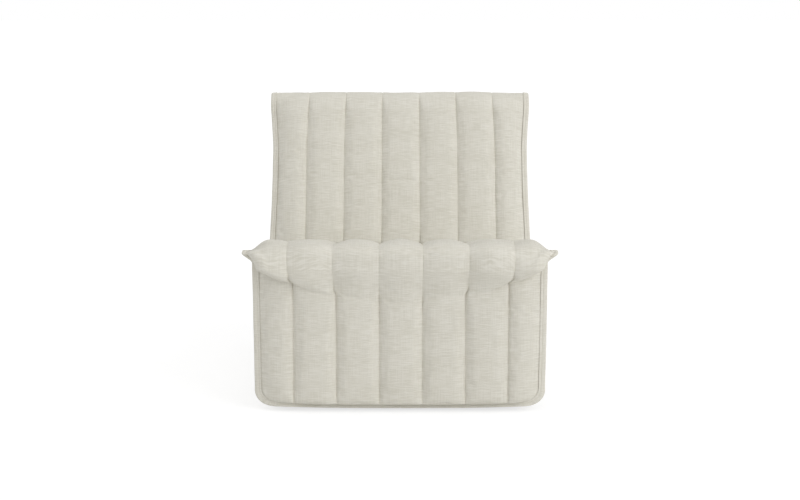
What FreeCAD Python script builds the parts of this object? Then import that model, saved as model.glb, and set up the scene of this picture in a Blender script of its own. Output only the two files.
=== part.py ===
"""Armless lounge chair with a channel-quilted cover, built as it is on the bench.

A plywood and solid wood frame stands on four nail-on glides. Woven elastic webbing carries
the seat and back foam. Two channel-quilted pads wrap the foam, one from the front hem over
the seat roll to the crease and one from the crease over the top to the rear hem. A flat
sewn welt follows both side edges and makes the pointed ears at the ends of the seat roll.

Millimetres and degrees. X is to the right seen from the front, Y to the rear, Z up. The
origin is on the floor under the middle of the chair. Right means the +X side.
"""

import FreeCAD
import Part

import math
import os
from collections import namedtuple

V = FreeCAD.Vector

# Overall sizes
ear_width = 800.0
ear_overhang = 44.0
overall_depth = 910.0
overall_height = 760.0
crest_height = 437.0
seat_slope = 11.0
back_lean = 24.0
rear_lean = 7.0

# Quilted pads
channel_count = 7
channel_share = 0.15365
quilt_loft = 42.0
channel_puff = 12.0
top_puff = 5.0
hem_puff = 2.5
edge_loft = 16.0
roll_swell = 30.0
roll_foot_height = 284.0
nose_radius = 22.0
top_radius = 85.0
top_flare = 8.0
flare_length = 120.0
ear_length = 110.0
ear_start_turn = 10.0
ear_full_turn = 50.0
hem_corner_radius = 45.0
crease_loft_share = 0.9
panel_fullness = 8.0
roll_fullness = 9.0

# Sections along each round stretch of the pads
corner_steps = 3
roll_steps = 4
nose_steps = 5
top_front_steps = 4
top_rear_steps = 4

# Welts
welt_reach = 17.0
welt_thickness = 6.0
hem_reach = 12.0
hem_clearance = 4.0
sewn_clearance = 0.2

# Side covers and foam
cover_thickness = 4.0
cover_turn_under = 16.0
side_foam_thickness = 10.0
front_foam_thickness = 25.0
seat_foam_depth = 118.0
topper_thickness = 35.0
nose_foam_length = 70.0
back_foam_depth = 36.0
rear_foam_thickness = 8.0
top_cap_height = 23.0
foam_clearance = 0.3
dust_cover_thickness = 1.2

# Frame
side_panel_thickness = 18.0
side_panel_lift = 20.0
front_rail_thickness = 22.0
rear_rail_thickness = 22.0
rear_rail_height = 90.0
seat_rail_thickness = 30.0
seat_rail_height_share = 0.64
seat_rail_setback = 16.0
back_rail_thickness = 28.0
back_rail_height = 60.0
back_rail_rise = 26.0
top_rail_height = 54.0
back_board_thickness = 4.0
runner_width = 34.0
runner_height = 40.0
stretcher_width = 45.0
block_leg = 95.0
tenon_share = 0.5
joint_clearance = 0.1
shoulder_radius = 12.0
waist_radius = 20.0
dowel_diameter = 10.0
dowel_length = 40.0
dowel_rows = 2

# Webbing
strap_width = 60.0
strap_thickness = 2.4
strap_clearance = 0.3
seat_strap_count = 6
seat_cross_count = 3
back_strap_count = 5
back_cross_count = 4

# Glides and their nails
glide_diameter = 34.0
glide_flare = 4.0
glide_rim = 2.0
nail_diameter = 4.0
nail_length = 26.0
nail_seat_share = 0.4

# Cutters reach past what they cut by this much
cut_overrun = 5.0

FRONT = V(0, -1, 0)
REAR = V(0, 1, 0)
UP = V(0, 0, 1)
ACROSS = V(1, 0, 0)
ORIGIN = V(0, 0, 0)


def turned(degrees):
    """Unit vector in the side plane that leans up from the front by an angle."""
    a = math.radians(degrees)
    return V(0, -math.cos(a), math.sin(a))


def spread(low, high, steps):
    """Even steps from a low to a high value, both included."""
    return [low + (high - low) * k / steps for k in range(steps + 1)]


def ease(share):
    """Smooth step from 0 to 1."""
    s = min(max(share, 0.0), 1.0)
    return s * s * (3 - 2 * s)


def meet(p, p_way, q, q_way):
    """Point where two lines of the side plane cross."""
    det = p_way.y * q_way.z - p_way.z * q_way.y
    gap = q - p
    return p + p_way * ((gap.y * q_way.z - gap.z * q_way.y) / det)


def at_height(point, way, z):
    """Point of a line of the side plane at one height."""
    return point + way * ((z - point.z) / way.z)


def prism(points, x_low, x_high):
    """Solid from one place across the chair to another over an outline of the side plane."""
    wire = Part.makePolygon([V(x_low, p.y, p.z) for p in points + points[:1]])
    return Part.Face(wire).extrude(ACROSS * (x_high - x_low))


def box(x_low, x_high, y_low, y_high, z_low, z_high):
    """Box between two corners."""
    corner = V(x_low, y_low, z_low)
    return Part.makeBox(x_high - x_low, y_high - y_low, z_high - z_low, corner)


def mirrored(shape):
    """The same shape on the other side of the chair."""
    return shape.mirror(ORIGIN, ACROSS)


def both_sides(shapes):
    """Shapes of the right side with their mirror images."""
    return [s for shape in shapes for s in (shape, mirrored(shape))]


def nearest_edge(shape, point):
    """Edge whose middle lies nearest to a point."""
    return min(shape.Edges, key=lambda e: (e.CenterOfMass - point).Length)


def loop_wire(edges):
    """Closed wire of line and arc segments in order."""
    return Part.Wire([e.toShape() for e in edges])


# The lining is the surface between the quilted pads and everything that they wrap
body_width = ear_width - 2 * ear_overhang
half_body = body_width / 2
channel_width = body_width * channel_share
ear_reach = ear_overhang - welt_reach
hem_height = hem_clearance + hem_reach
front_y = roll_swell + quilt_loft - overall_depth / 2
nose_centre = V(0, front_y + nose_radius, crest_height - quilt_loft - nose_radius)
nose_end_turn = 90 + seat_slope
nose_turns = spread(0, 90, nose_steps) + [nose_end_turn]
seat_normal = turned(nose_end_turn)
seat_way = V(0, seat_normal.z, -seat_normal.y)
seat_start = nose_centre + seat_normal * nose_radius

top_centre = V(0, overall_depth / 2 - top_radius, overall_height - top_radius)
lining_top_radius = top_radius - quilt_loft
rear_turn = 180 + rear_lean
top_turns = spread(back_lean, 90, top_front_steps)[:-1] + spread(90, 180, top_rear_steps) + [rear_turn]
back_normal = turned(back_lean)
back_down = V(0, -back_normal.z, back_normal.y)
back_start = top_centre + back_normal * lining_top_radius
rear_normal = turned(rear_turn)
rear_down = V(0, rear_normal.z, -rear_normal.y)
rear_up = rear_down * -1
rear_start = top_centre + rear_normal * lining_top_radius

front_foot = V(0, front_y, hem_height)
rear_foot = at_height(rear_start, rear_down, hem_height - edge_loft * rear_normal.z)
crease = meet(seat_start, seat_way, back_start, back_down)


def lining_outline(inset):
    """Closed outline of the wrapped body in the side plane, drawn in by a clearance."""
    seat_line = seat_start - seat_normal * inset
    back_line = back_start - back_normal * inset
    rear_line = rear_start - rear_normal * inset
    points = [front_foot - FRONT * inset]
    points += [nose_centre + turned(t) * (nose_radius - inset) for t in nose_turns]
    points.append(meet(seat_line, seat_way, back_line, back_down))
    points += [top_centre + turned(t) * (lining_top_radius - inset) for t in top_turns]
    points.append(at_height(rear_line, rear_down, hem_height))
    return points


# A rib is one cross section of a quilted pad: its foot on the lining, the way it rises, its
# half width, its loft in the middle and at the edges, how far its seams are drawn in, and
# how full it stays towards the edges
Rib = namedtuple("Rib", "foot rise half_width loft edge puff fullness")


def envelope(rib, x):
    """Height of a pad over the lining at x, before its seams are drawn in."""
    share = min(abs(x) / rib.half_width, 1.0)
    return rib.edge + (rib.loft - rib.edge) * (1 - share**rib.fullness)


def seam_places(rib):
    """Places of the two edges and of the seams between them, from left to right."""
    fan = max(rib.half_width / half_body, 1.0)
    seams = [(k + 1 - channel_count / 2) * channel_width * fan for k in range(channel_count - 1)]
    return [-rib.half_width] + seams + [rib.half_width]


def on_rib(rib, x, height):
    """Point of a rib at a place across the chair and a height over the lining."""
    return V(x, 0, 0) + rib.foot + rib.rise * height


def rib_wire(rib):
    """Outline of a rib: flat on the lining, two upright edges and one arc for each channel."""
    w = rib.half_width
    places = seam_places(rib)
    heights = [rib.edge] + [envelope(rib, x) - rib.puff for x in places[1:-1]] + [rib.edge]
    edges = [
        Part.LineSegment(on_rib(rib, -w, 0), on_rib(rib, w, 0)),
        Part.LineSegment(on_rib(rib, w, 0), on_rib(rib, w, rib.edge)),
    ]
    for k in reversed(range(channel_count)):
        middle = (places[k] + places[k + 1]) / 2
        start = on_rib(rib, places[k + 1], heights[k + 1])
        crown = on_rib(rib, middle, envelope(rib, middle))
        edges.append(Part.Arc(start, crown, on_rib(rib, places[k], heights[k])))
    edges.append(Part.LineSegment(on_rib(rib, -w, rib.edge), on_rib(rib, -w, 0)))
    return loop_wire(edges)


def seat_rib(foot, rise, half_width=half_body, loft=quilt_loft, fullness=panel_fullness):
    """Rib of the seat pad, with the usual width, loft and fullness unless told otherwise."""
    return Rib(foot, rise, half_width, loft, edge_loft, channel_puff, fullness)


def hem_ribs(foot, way, rise):
    """Ribs of the rounded lower end of a pad, from its hem upwards."""
    low_loft = edge_loft + hem_puff
    ribs = []
    for turn in spread(0, 90, corner_steps):
        a = math.radians(turn)
        grown = math.sin(a)
        place = foot + way * (hem_corner_radius * (1 - math.cos(a)))
        width = half_body - hem_corner_radius * (1 - grown)
        loft = low_loft + (quilt_loft - low_loft) * grown
        puff = hem_puff + (channel_puff - hem_puff) * grown
        ribs.append(Rib(place, rise, width, loft, edge_loft, puff, panel_fullness))
    return ribs


def mitre_rib():
    """Rib in the plane where the seat pad and the back pad meet."""
    way = (seat_normal + back_normal).normalize()
    stretch = crease_loft_share / way.dot(seat_normal)
    loft, edge, puff = quilt_loft * stretch, edge_loft * stretch, channel_puff * stretch
    return Rib(crease, way, half_body, loft, edge, puff, panel_fullness)


def front_ribs():
    """Ribs of the roll that swells over the front panel, from its foot up to the nose."""
    ribs = []
    for share in spread(0, 1, roll_steps)[:-1]:
        z = roll_foot_height + (nose_centre.z - roll_foot_height) * share
        loft = quilt_loft + roll_swell * ease(share)
        fullness = panel_fullness + (roll_fullness - panel_fullness) * ease(share)
        ribs.append(seat_rib(V(0, front_y, z), FRONT, loft=loft, fullness=fullness))
    return ribs


def nose_ribs():
    """Ribs round the seat roll, where the pad widens into the ears."""
    ribs = []
    for turn in nose_turns:
        rise = turned(turn)
        width = half_body + ear_reach * ease((turn - ear_start_turn) / (ear_full_turn - ear_start_turn))
        loft = quilt_loft + roll_swell * max(math.cos(math.radians(turn)), 0) ** 2
        fullness = roll_fullness + (panel_fullness - roll_fullness) * ease(turn / 90)
        ribs.append(seat_rib(nose_centre + rise * nose_radius, rise, width, loft, fullness))
    return ribs


def flat_seat_ribs():
    """Ribs of the seat behind the roll, where the ears run out."""
    run = (crease - seat_start).Length
    ribs = []
    for along in (ear_length / 2, ear_length, run - ear_length / 2):
        width = half_body + ear_reach * ease(1 - along / ear_length)
        ribs.append(seat_rib(seat_start + seat_way * along, seat_normal, width))
    return ribs


def back_rib(foot, rise, closeness):
    """Rib of the back pad. Close to the top the seams are shallow and the edges full."""
    full_edge = quilt_loft - top_puff
    width = half_body + top_flare * closeness
    edge = edge_loft + (full_edge - edge_loft) * closeness
    puff = channel_puff + (top_puff - channel_puff) * closeness
    return Rib(foot, rise, width, quilt_loft, edge, puff, panel_fullness)


def upper_back_ribs():
    """Ribs of the back pad between the crease and the rear hem's own ribs."""
    run = (crease - back_start).Length
    ribs = []
    for along in (run - flare_length / 2, flare_length, flare_length / 2):
        closeness = ease(1 - along / flare_length)
        ribs.append(back_rib(back_start + back_down * along, back_normal, closeness))
    ribs += [back_rib(top_centre + turned(t) * lining_top_radius, turned(t), 1) for t in top_turns]
    for along in (flare_length / 2, flare_length):
        closeness = ease(1 - along / flare_length)
        ribs.append(back_rib(rear_start + rear_down * along, rear_normal, closeness))
    return ribs


def quilted_pad(ribs):
    """Channelled pad through its ribs."""
    return Part.makeLoft([rib_wire(r) for r in ribs], True, True)


def welt_wire(inner, outer, rise, low, high):
    """Section of a welt: flat, with its free edge drawn to a blunt ridge."""
    ridge = (outer - inner).normalize() * ((high - low) / 2)
    points = [
        inner + rise * low,
        outer - ridge + rise * low,
        outer + rise * ((low + high) / 2),
        outer - ridge + rise * high,
        inner + rise * high,
    ]
    return Part.makePolygon(points + points[:1])


def side_welt_wire(rib, thickness):
    """Section of the right side welt beside a rib, level with the pad's edge."""
    inner = rib.foot + ACROSS * (rib.half_width + sewn_clearance)
    outer = rib.foot + ACROSS * (rib.half_width + welt_reach)
    return welt_wire(inner, outer, rib.rise, rib.edge - thickness, rib.edge)


def corner_welt_wires(foot, way, rise):
    """Sections of the right side welt round the lower corner of a pad, from its hem upwards."""
    centre = foot + way * hem_corner_radius + ACROSS * (half_body - hem_corner_radius)
    wires = []
    for turn in spread(0, 90, corner_steps):
        a = math.radians(turn)
        out = ACROSS * math.sin(a) - way * math.cos(a)
        reach = hem_reach + (welt_reach - hem_reach) * math.sin(a)
        inner = centre + out * (hem_corner_radius + sewn_clearance)
        outer = centre + out * (hem_corner_radius + reach)
        wires.append(welt_wire(inner, outer, rise, edge_loft - welt_thickness, edge_loft))
    return wires


def side_welt():
    """Right side welt: round the front corner, up the front, past the ear, over to the rear."""
    mitre = mitre_rib()
    seat_side = front_ribs() + nose_ribs() + flat_seat_ribs()
    wires = corner_welt_wires(front_foot, UP, FRONT)
    wires += [side_welt_wire(r, welt_thickness) for r in seat_side]
    wires.append(side_welt_wire(mitre, welt_thickness * mitre.edge / edge_loft))
    wires += [side_welt_wire(r, welt_thickness) for r in upper_back_ribs()]
    wires += reversed(corner_welt_wires(rear_foot, rear_up, rear_normal))
    return Part.makeLoft(wires, True, True)


def hem_welt(foot, way, rise):
    """Straight welt along the lower edge of a pad."""
    half = half_body - hem_corner_radius
    wires = []
    for x in (-half, half):
        inner = foot + ACROSS * x - way * sewn_clearance
        outer = foot + ACROSS * x - way * hem_reach
        wires.append(welt_wire(inner, outer, rise, edge_loft - welt_thickness, edge_loft))
    return Part.makeLoft(wires, True, True)


corner_centre_x = half_body - hem_corner_radius
corner_centre_z = hem_height + hem_corner_radius


def side_cover():
    """Right side cover: a panel that follows the body's outline and turns under at the bottom."""
    centre = V(corner_centre_x, -overall_depth / 2, corner_centre_z)
    low_way = ACROSS * math.cos(math.radians(45)) - UP * math.sin(math.radians(45))
    inner_radius = hem_corner_radius - cover_thickness
    outer_x, inner_x = ACROSS * hem_corner_radius, ACROSS * inner_radius
    outer_low, inner_low = UP * -hem_corner_radius, UP * -inner_radius
    high = UP * overall_height
    tail = ACROSS * -cover_turn_under
    edges = [
        Part.LineSegment(centre + outer_x + high, centre + outer_x),
        Part.Arc(centre + outer_x, centre + low_way * hem_corner_radius, centre + outer_low),
        Part.LineSegment(centre + outer_low, centre + outer_low + tail),
        Part.LineSegment(centre + outer_low + tail, centre + inner_low + tail),
        Part.LineSegment(centre + inner_low + tail, centre + inner_low),
        Part.Arc(centre + inner_low, centre + low_way * inner_radius, centre + inner_x),
        Part.LineSegment(centre + inner_x, centre + inner_x + high),
        Part.LineSegment(centre + inner_x + high, centre + outer_x + high),
    ]
    strip = Part.Face(loop_wire(edges)).extrude(REAR * overall_depth)
    return strip.common(prism(lining_outline(foam_clearance), 0, body_width))


# Planes of the frame, from the lining inwards
frame_x = half_body - cover_thickness - side_foam_thickness
panel_x = frame_x - side_panel_thickness
rail_front_y = front_y + front_foam_thickness
panel_front_y = rail_front_y + front_rail_thickness
frame_bottom = hem_height + cover_thickness + foam_clearance
panel_bottom = hem_height + side_panel_lift
web_start = seat_start - seat_normal * seat_foam_depth
back_web_start = back_start - back_normal * back_foam_depth
board_start = rear_start - rear_normal * (rear_foam_thickness + foam_clearance)
frame_rear_start = board_start - rear_normal * back_board_thickness
frame_top = top_centre.z + lining_top_radius - top_cap_height - foam_clearance
web_stack = 2 * (strap_thickness + strap_clearance)
waist = meet(web_start, seat_way, back_web_start, back_down)


def on_web(y):
    """Point of the seat webbing's plane at one depth."""
    return web_start + seat_way * ((y - web_start.y) / seat_way.y)


def round_low_corners(shape, half_width):
    """Rounds both lower corners of a cross piece to lie inside the turned-under side covers."""
    middle = shape.BoundBox.Center
    low = shape.BoundBox.ZMin
    edges = [nearest_edge(shape, V(x, middle.y, low)) for x in (-half_width, half_width)]
    return shape.makeFillet(half_width - corner_centre_x, edges)


def seat_rail_outline():
    """Outline of the rail that holds the rear ends of the seat straps, upper front first."""
    rear = on_web(waist.y - seat_rail_setback)
    front = on_web(rear.y - seat_rail_thickness)
    low = rear.z - (rear.z - base_top) * seat_rail_height_share
    return [front, rear, V(0, rear.y, low), V(0, front.y, low)]


def back_rail_outline():
    """Outline of the rail that holds the lower ends of the back straps, lower front first."""
    low = waist - back_down * back_rail_rise
    high = low - back_down * back_rail_height
    inward = back_normal * -back_rail_thickness
    return [low, high, high + inward, low + inward]


def top_rail_outline():
    """Outline of the rail along the top of the back, lower front first."""
    low_z = frame_top - top_rail_height
    return [
        at_height(back_web_start, back_down, low_z),
        at_height(back_web_start, back_down, frame_top),
        at_height(frame_rear_start, rear_down, frame_top),
        at_height(frame_rear_start, rear_down, low_z),
    ]


def tenon_outline(outline, clearance):
    """Outline of a rail's tenon: the rail's own, drawn in, and let out by a clearance."""
    middle = sum(outline, ORIGIN) * (1 / len(outline))
    points = []
    for p in outline:
        arm = (p - middle) * tenon_share
        points.append(middle + arm * (1 + clearance / arm.Length))
    return points


def tenoned_rail(outline):
    """Rail between the side panels with a tenon through each of them."""
    tenon = prism(tenon_outline(outline, 0), -frame_x, frame_x)
    return prism(outline, -panel_x, panel_x).fuse(tenon).removeSplitter()


def dowel_holes(clearance):
    """Right dowels between the front rail and the side panel, let out by a clearance."""
    x = (panel_x + frame_x) / 2
    low, high = panel_bottom, on_web(panel_front_y).z
    radius = dowel_diameter / 2 + clearance
    in_rail = front_rail_thickness / 2
    length = dowel_length + 2 * clearance
    holes = []
    for k in range(dowel_rows):
        z = low + (high - low) * (k + 0.5) / dowel_rows
        holes.append(Part.makeCylinder(radius, length, V(x, panel_front_y - in_rail - clearance, z), REAR))
    return holes


def side_panel():
    """Right plywood side of the frame, with mortises for the tenons and holes for dowels."""
    shoulder_front = at_height(back_web_start, back_down, frame_top)
    shoulder_rear = at_height(frame_rear_start, rear_down, frame_top)
    outline = [
        V(0, panel_front_y, panel_bottom),
        on_web(panel_front_y),
        waist,
        shoulder_front,
        shoulder_rear,
        at_height(frame_rear_start, rear_down, panel_bottom),
    ]
    panel = prism(outline, panel_x, frame_x)
    to_middle = ACROSS * ((panel_x + frame_x) / 2)
    panel = panel.makeFillet(waist_radius, [nearest_edge(panel, waist + to_middle)])
    for corner in (shoulder_front, shoulder_rear):
        panel = panel.makeFillet(shoulder_radius, [nearest_edge(panel, corner + to_middle)])
    for rail in (seat_rail_outline(), back_rail_outline(), top_rail_outline()):
        mortise = tenon_outline(rail, joint_clearance)
        panel = panel.cut(prism(mortise, panel_x - cut_overrun, frame_x + cut_overrun))
    for hole in dowel_holes(joint_clearance):
        panel = panel.cut(hole)
    return panel


def front_rail():
    """Board across the front of the frame, bevelled on top to the seat's slope."""
    outline = [
        V(0, rail_front_y, frame_bottom),
        on_web(rail_front_y),
        on_web(panel_front_y),
        V(0, panel_front_y, frame_bottom),
    ]
    rail = round_low_corners(prism(outline, -frame_x, frame_x), frame_x)
    for hole in both_sides(dowel_holes(joint_clearance)):
        rail = rail.cut(hole)
    return rail


def rear_rail_outline():
    """Outline of the low rail across the rear of the frame, lower rear first."""
    high = frame_bottom + rear_rail_height
    inner_start = frame_rear_start - rear_normal * rear_rail_thickness
    return [
        at_height(frame_rear_start, rear_down, frame_bottom),
        at_height(frame_rear_start, rear_down, high),
        at_height(inner_start, rear_down, high),
        at_height(inner_start, rear_down, frame_bottom),
    ]


def rear_rail():
    """Low rail across the rear of the frame."""
    return round_low_corners(prism(rear_rail_outline(), -panel_x, panel_x), panel_x)


base_front_y = panel_front_y
base_rear_y = rear_rail_outline()[-1].y
base_top = frame_bottom + runner_height
block_x = panel_x - runner_width


def runner():
    """Right bottom runner from the front rail to the rear rail."""
    body = box(block_x, panel_x, base_front_y, base_rear_y, frame_bottom, base_top)
    low_edge = nearest_edge(body, V(panel_x, (base_front_y + base_rear_y) / 2, frame_bottom))
    return body.makeFillet(panel_x - corner_centre_x, [low_edge])


def stretcher():
    """Middle stretcher of the base."""
    half = stretcher_width / 2
    return box(-half, half, base_front_y, base_rear_y, frame_bottom, base_top)


def base_corners():
    """Right corners of the base: the depth of the rail's face and the way into the frame."""
    return [(base_front_y, REAR), (base_rear_y, FRONT)]


def corner_block(y, inward):
    """Right triangular block in a corner of the base."""
    corner = V(block_x, y, frame_bottom)
    points = [corner, corner - ACROSS * block_leg, corner + inward * block_leg]
    return Part.Face(Part.makePolygon(points + points[:1])).extrude(UP * runner_height)


def glide_place(y, inward):
    """Place on the floor under the middle of a corner block."""
    inset = block_leg / 3
    return V(block_x - inset, y, 0) + inward * inset


glide_height = frame_bottom - foam_clearance - dust_cover_thickness - joint_clearance


def glide_nail(place):
    """Nail that is moulded into a glide and driven into its block."""
    seat = place + UP * (glide_height * nail_seat_share)
    return Part.makeCylinder(nail_diameter / 2, nail_length, seat)


def glide(place):
    """Round plastic foot, wider at the top, with a bevelled lower rim."""
    low_radius = glide_diameter / 2
    body = Part.makeCone(low_radius, low_radius + glide_flare, glide_height, place)
    rim = min(body.Edges, key=lambda e: e.BoundBox.ZMax)
    return body.makeChamfer(glide_rim, [rim]).cut(glide_nail(place))


def strap_places(count, span):
    """Middle places of straps spread evenly over a span around zero."""
    return [span * ((k + 0.5) / count - 0.5) for k in range(count)]


def long_straps(start, finish, rise, count):
    """Straight straps from one rail to another, lying in the webbing's plane."""
    up = rise * strap_thickness
    outline = [start, finish, finish + up, start + up]
    half = strap_width / 2
    return [prism(outline, x - half, x + half) for x in strap_places(count, 2 * panel_x)]


def cross_straps(start, finish, rise, count, long_count, parity):
    """Straps from side to side that pass over and under the long ones."""
    way = (finish - start).normalize()
    run = (finish - start).Length
    over = strap_thickness + strap_clearance
    reach = strap_width / 2 + strap_clearance
    straps = []
    for j, middle in enumerate(strap_places(count, run)):
        track = [(-frame_x, 0), (-panel_x, 0)]
        for i, x in enumerate(strap_places(long_count, 2 * panel_x)):
            height = over if (i + j + parity) % 2 == 0 else -over
            track += [(x - reach, height), (x + reach, height)]
        track += [(panel_x, 0), (frame_x, 0)]
        corner = start + way * (run / 2 + middle - strap_width / 2)
        low = [corner + ACROSS * x + rise * h for x, h in track]
        high = [p + rise * strap_thickness for p in reversed(low)]
        straps.append(Part.Face(Part.makePolygon(low + high + low[:1])).extrude(way * strap_width))
    return straps


def seat_webbing():
    """Long and cross straps of the seat."""
    rail_front, rail_rear = seat_rail_outline()[:2]
    start = on_web(rail_front_y + front_rail_thickness / 4)
    inner_start = on_web(panel_front_y)
    long = long_straps(start, rail_rear, seat_normal, seat_strap_count)
    cross = cross_straps(inner_start, rail_front, seat_normal, seat_cross_count, seat_strap_count, 0)
    return long, cross


def back_webbing():
    """Long and cross straps of the back."""
    rail_low, rail_high = back_rail_outline()[:2]
    top_low, top_high = top_rail_outline()[:2]
    finish = top_high + back_down * shoulder_radius
    long = long_straps(rail_low, finish, back_normal, back_strap_count)
    cross = cross_straps(rail_high, top_low, back_normal, back_cross_count, back_strap_count, 1)
    return long, cross


# Planes of the foam
bed_start = web_start + seat_normal * web_stack
seat_foam_top = seat_start - seat_normal * foam_clearance
back_foam_front = back_start - back_normal * foam_clearance
back_foam_rear = back_web_start + back_normal * web_stack
foam_front = V(0, front_y + foam_clearance, 0)
top_foam_radius = lining_top_radius - foam_clearance


def front_foam():
    """Foam board on the front rail, up to the roll."""
    rear = V(0, rail_front_y - foam_clearance, 0)
    lid = bed_start - seat_normal * foam_clearance
    outline = [
        foam_front + UP * frame_bottom,
        meet(lid, seat_way, foam_front, UP),
        meet(lid, seat_way, rear, UP),
        rear + UP * frame_bottom,
    ]
    return round_low_corners(prism(outline, -frame_x, frame_x), frame_x)


def nose_foam():
    """Firm foam edge inside the seat roll."""
    outline = [meet(bed_start, seat_way, foam_front, UP)]
    outline += [nose_centre + turned(t) * (nose_radius - foam_clearance) for t in nose_turns]
    rear_high = seat_foam_top + seat_way * nose_foam_length
    outline += [rear_high, meet(rear_high, seat_normal, bed_start, seat_way)]
    return prism(outline, -frame_x, frame_x)


def seat_layer(upper, lower):
    """Foam layer between two depths under the seat lining, behind the nose foam."""
    front_line = seat_foam_top + seat_way * (nose_foam_length + foam_clearance)
    rear_line = crease + back_normal * foam_clearance
    top = seat_start - seat_normal * upper
    floor = seat_start - seat_normal * lower
    outline = [
        meet(top, seat_way, front_line, seat_normal),
        meet(top, seat_way, rear_line, back_down),
        meet(floor, seat_way, rear_line, back_down),
        meet(floor, seat_way, front_line, seat_normal),
    ]
    return prism(outline, -frame_x, frame_x)


def split_top_arc(z):
    """Facets of the foam's rounded top, before and after they rise past a height."""
    arc = [top_centre + turned(t) * top_foam_radius for t in top_turns]
    k = next(i for i, point in enumerate(arc) if point.z > z)
    crossing = at_height(arc[k], arc[k] - arc[k - 1], z)
    return arc[:k] + [crossing], [crossing] + arc[k:]


def back_foam():
    """Foam slab of the back, from the seat webbing up to the top of the frame."""
    rising, _ = split_top_arc(frame_top)
    outline = [
        meet(back_foam_front, back_down, bed_start, seat_way),
        meet(back_foam_rear, back_down, bed_start, seat_way),
        at_height(back_foam_rear, back_down, frame_top),
    ]
    return prism(rising[::-1] + outline, -frame_x, frame_x)


def top_foam():
    """Foam cap over the top rail, down the rear to the top of the rear foam."""
    base = frame_top + foam_clearance
    _, outline = split_top_arc(base)
    inner = frame_rear_start + rear_normal * foam_clearance
    outline += [at_height(inner, rear_down, z) for z in (rear_start.z, base)]
    return prism(outline, -frame_x, frame_x)


def rear_slab(outer, inner):
    """Flat layer behind the frame between two planes, from the side panels' lower edge up."""
    high = rear_start.z - foam_clearance
    outline = [
        at_height(outer, rear_down, panel_bottom),
        at_height(outer, rear_down, high),
        at_height(inner, rear_down, high),
        at_height(inner, rear_down, panel_bottom),
    ]
    return prism(outline, -frame_x, frame_x)


def side_foam():
    """Right foam sheet between the side panel and the side cover."""
    outer_x = half_body - cover_thickness - foam_clearance
    sheet = prism(lining_outline(foam_clearance), frame_x + foam_clearance, outer_x)
    half = overall_depth / 2
    return sheet.common(box(0, body_width, -half, half, corner_centre_z, overall_height))


def dust_cover(nails):
    """Thin cloth under the frame between the turned-under side covers, pierced by the nails."""
    half = corner_centre_x - cover_turn_under - foam_clearance
    high = frame_bottom - foam_clearance
    low = high - dust_cover_thickness
    rear = at_height(rear_start, rear_down, high).y - foam_clearance
    cloth = box(-half, half, foam_front.y, rear, low, high)
    for nail in nails:
        cloth = cloth.cut(nail)
    return cloth


def quilt_nodes():
    """The quilted pads and their welts."""
    seat_pad = hem_ribs(front_foot, UP, FRONT) + front_ribs() + nose_ribs() + flat_seat_ribs()
    back_pad = upper_back_ribs() + hem_ribs(rear_foot, rear_up, rear_normal)[::-1]
    right_welt = side_welt()
    return {
        "seat_quilt": quilted_pad(seat_pad + [mitre_rib()]),
        "back_quilt": quilted_pad([mitre_rib()] + back_pad),
        "right_side_welt": right_welt,
        "left_side_welt": mirrored(right_welt),
        "front_hem_welt": hem_welt(front_foot, UP, FRONT),
        "rear_hem_welt": hem_welt(rear_foot, rear_up, rear_normal),
    }


def foam_nodes():
    """Foam and the side covers."""
    return {
        "right_side_cover": side_cover(),
        "left_side_cover": mirrored(side_cover()),
        "front_foam": front_foam(),
        "nose_foam": nose_foam(),
        "seat_topper_foam": seat_layer(foam_clearance, topper_thickness),
        "seat_core_foam": seat_layer(topper_thickness, seat_foam_depth - web_stack),
        "back_foam": back_foam(),
        "top_foam": top_foam(),
        "rear_foam": rear_slab(rear_start - rear_normal * foam_clearance, board_start),
        "right_side_foam": side_foam(),
        "left_side_foam": mirrored(side_foam()),
    }


def frame_nodes():
    """Frame, webbing, glides and fasteners."""
    places = [glide_place(y, inward) for y, inward in base_corners()]
    nails = both_sides([glide_nail(p) for p in places])
    blocks = both_sides([corner_block(y, inward) for y, inward in base_corners()])
    for nail in nails:
        blocks = [b.cut(nail) for b in blocks]
    long_seat, cross_seat = seat_webbing()
    long_back, cross_back = back_webbing()
    return {
        "back_board": rear_slab(board_start, frame_rear_start),
        "right_side_panel": side_panel(),
        "left_side_panel": mirrored(side_panel()),
        "front_rail": front_rail(),
        "rear_rail": rear_rail(),
        "seat_rail": tenoned_rail(seat_rail_outline()),
        "back_rail": tenoned_rail(back_rail_outline()),
        "top_rail": tenoned_rail(top_rail_outline()),
        "right_runner": runner(),
        "left_runner": mirrored(runner()),
        "centre_stretcher": stretcher(),
        "corner_blocks": Part.makeCompound(blocks),
        "front_dowels": Part.makeCompound(both_sides(dowel_holes(0))),
        "seat_long_straps": Part.makeCompound(long_seat),
        "seat_cross_straps": Part.makeCompound(cross_seat),
        "back_long_straps": Part.makeCompound(long_back),
        "back_cross_straps": Part.makeCompound(cross_back),
        "dust_cover": dust_cover(nails),
        "glides": Part.makeCompound(both_sides([glide(p) for p in places])),
        "glide_nails": Part.makeCompound(nails),
    }


def main():
    """Writes one STEP file per node and prints what was built."""
    os.makedirs("parts", exist_ok=True)
    nodes = {**quilt_nodes(), **foam_nodes(), **frame_nodes()}
    for name, shape in nodes.items():
        solids = shape.Solids
        whole = solids[0] if len(solids) == 1 else Part.makeCompound(solids)
        whole.exportStep(os.path.join("parts", name + ".step"))
        valid = all(s.isValid() for s in solids)
        b = whole.BoundBox
        print(f"{name}: {len(solids)} solids, valid {valid}, z {b.ZMin:.1f} to {b.ZMax:.1f}")


main()
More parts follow.
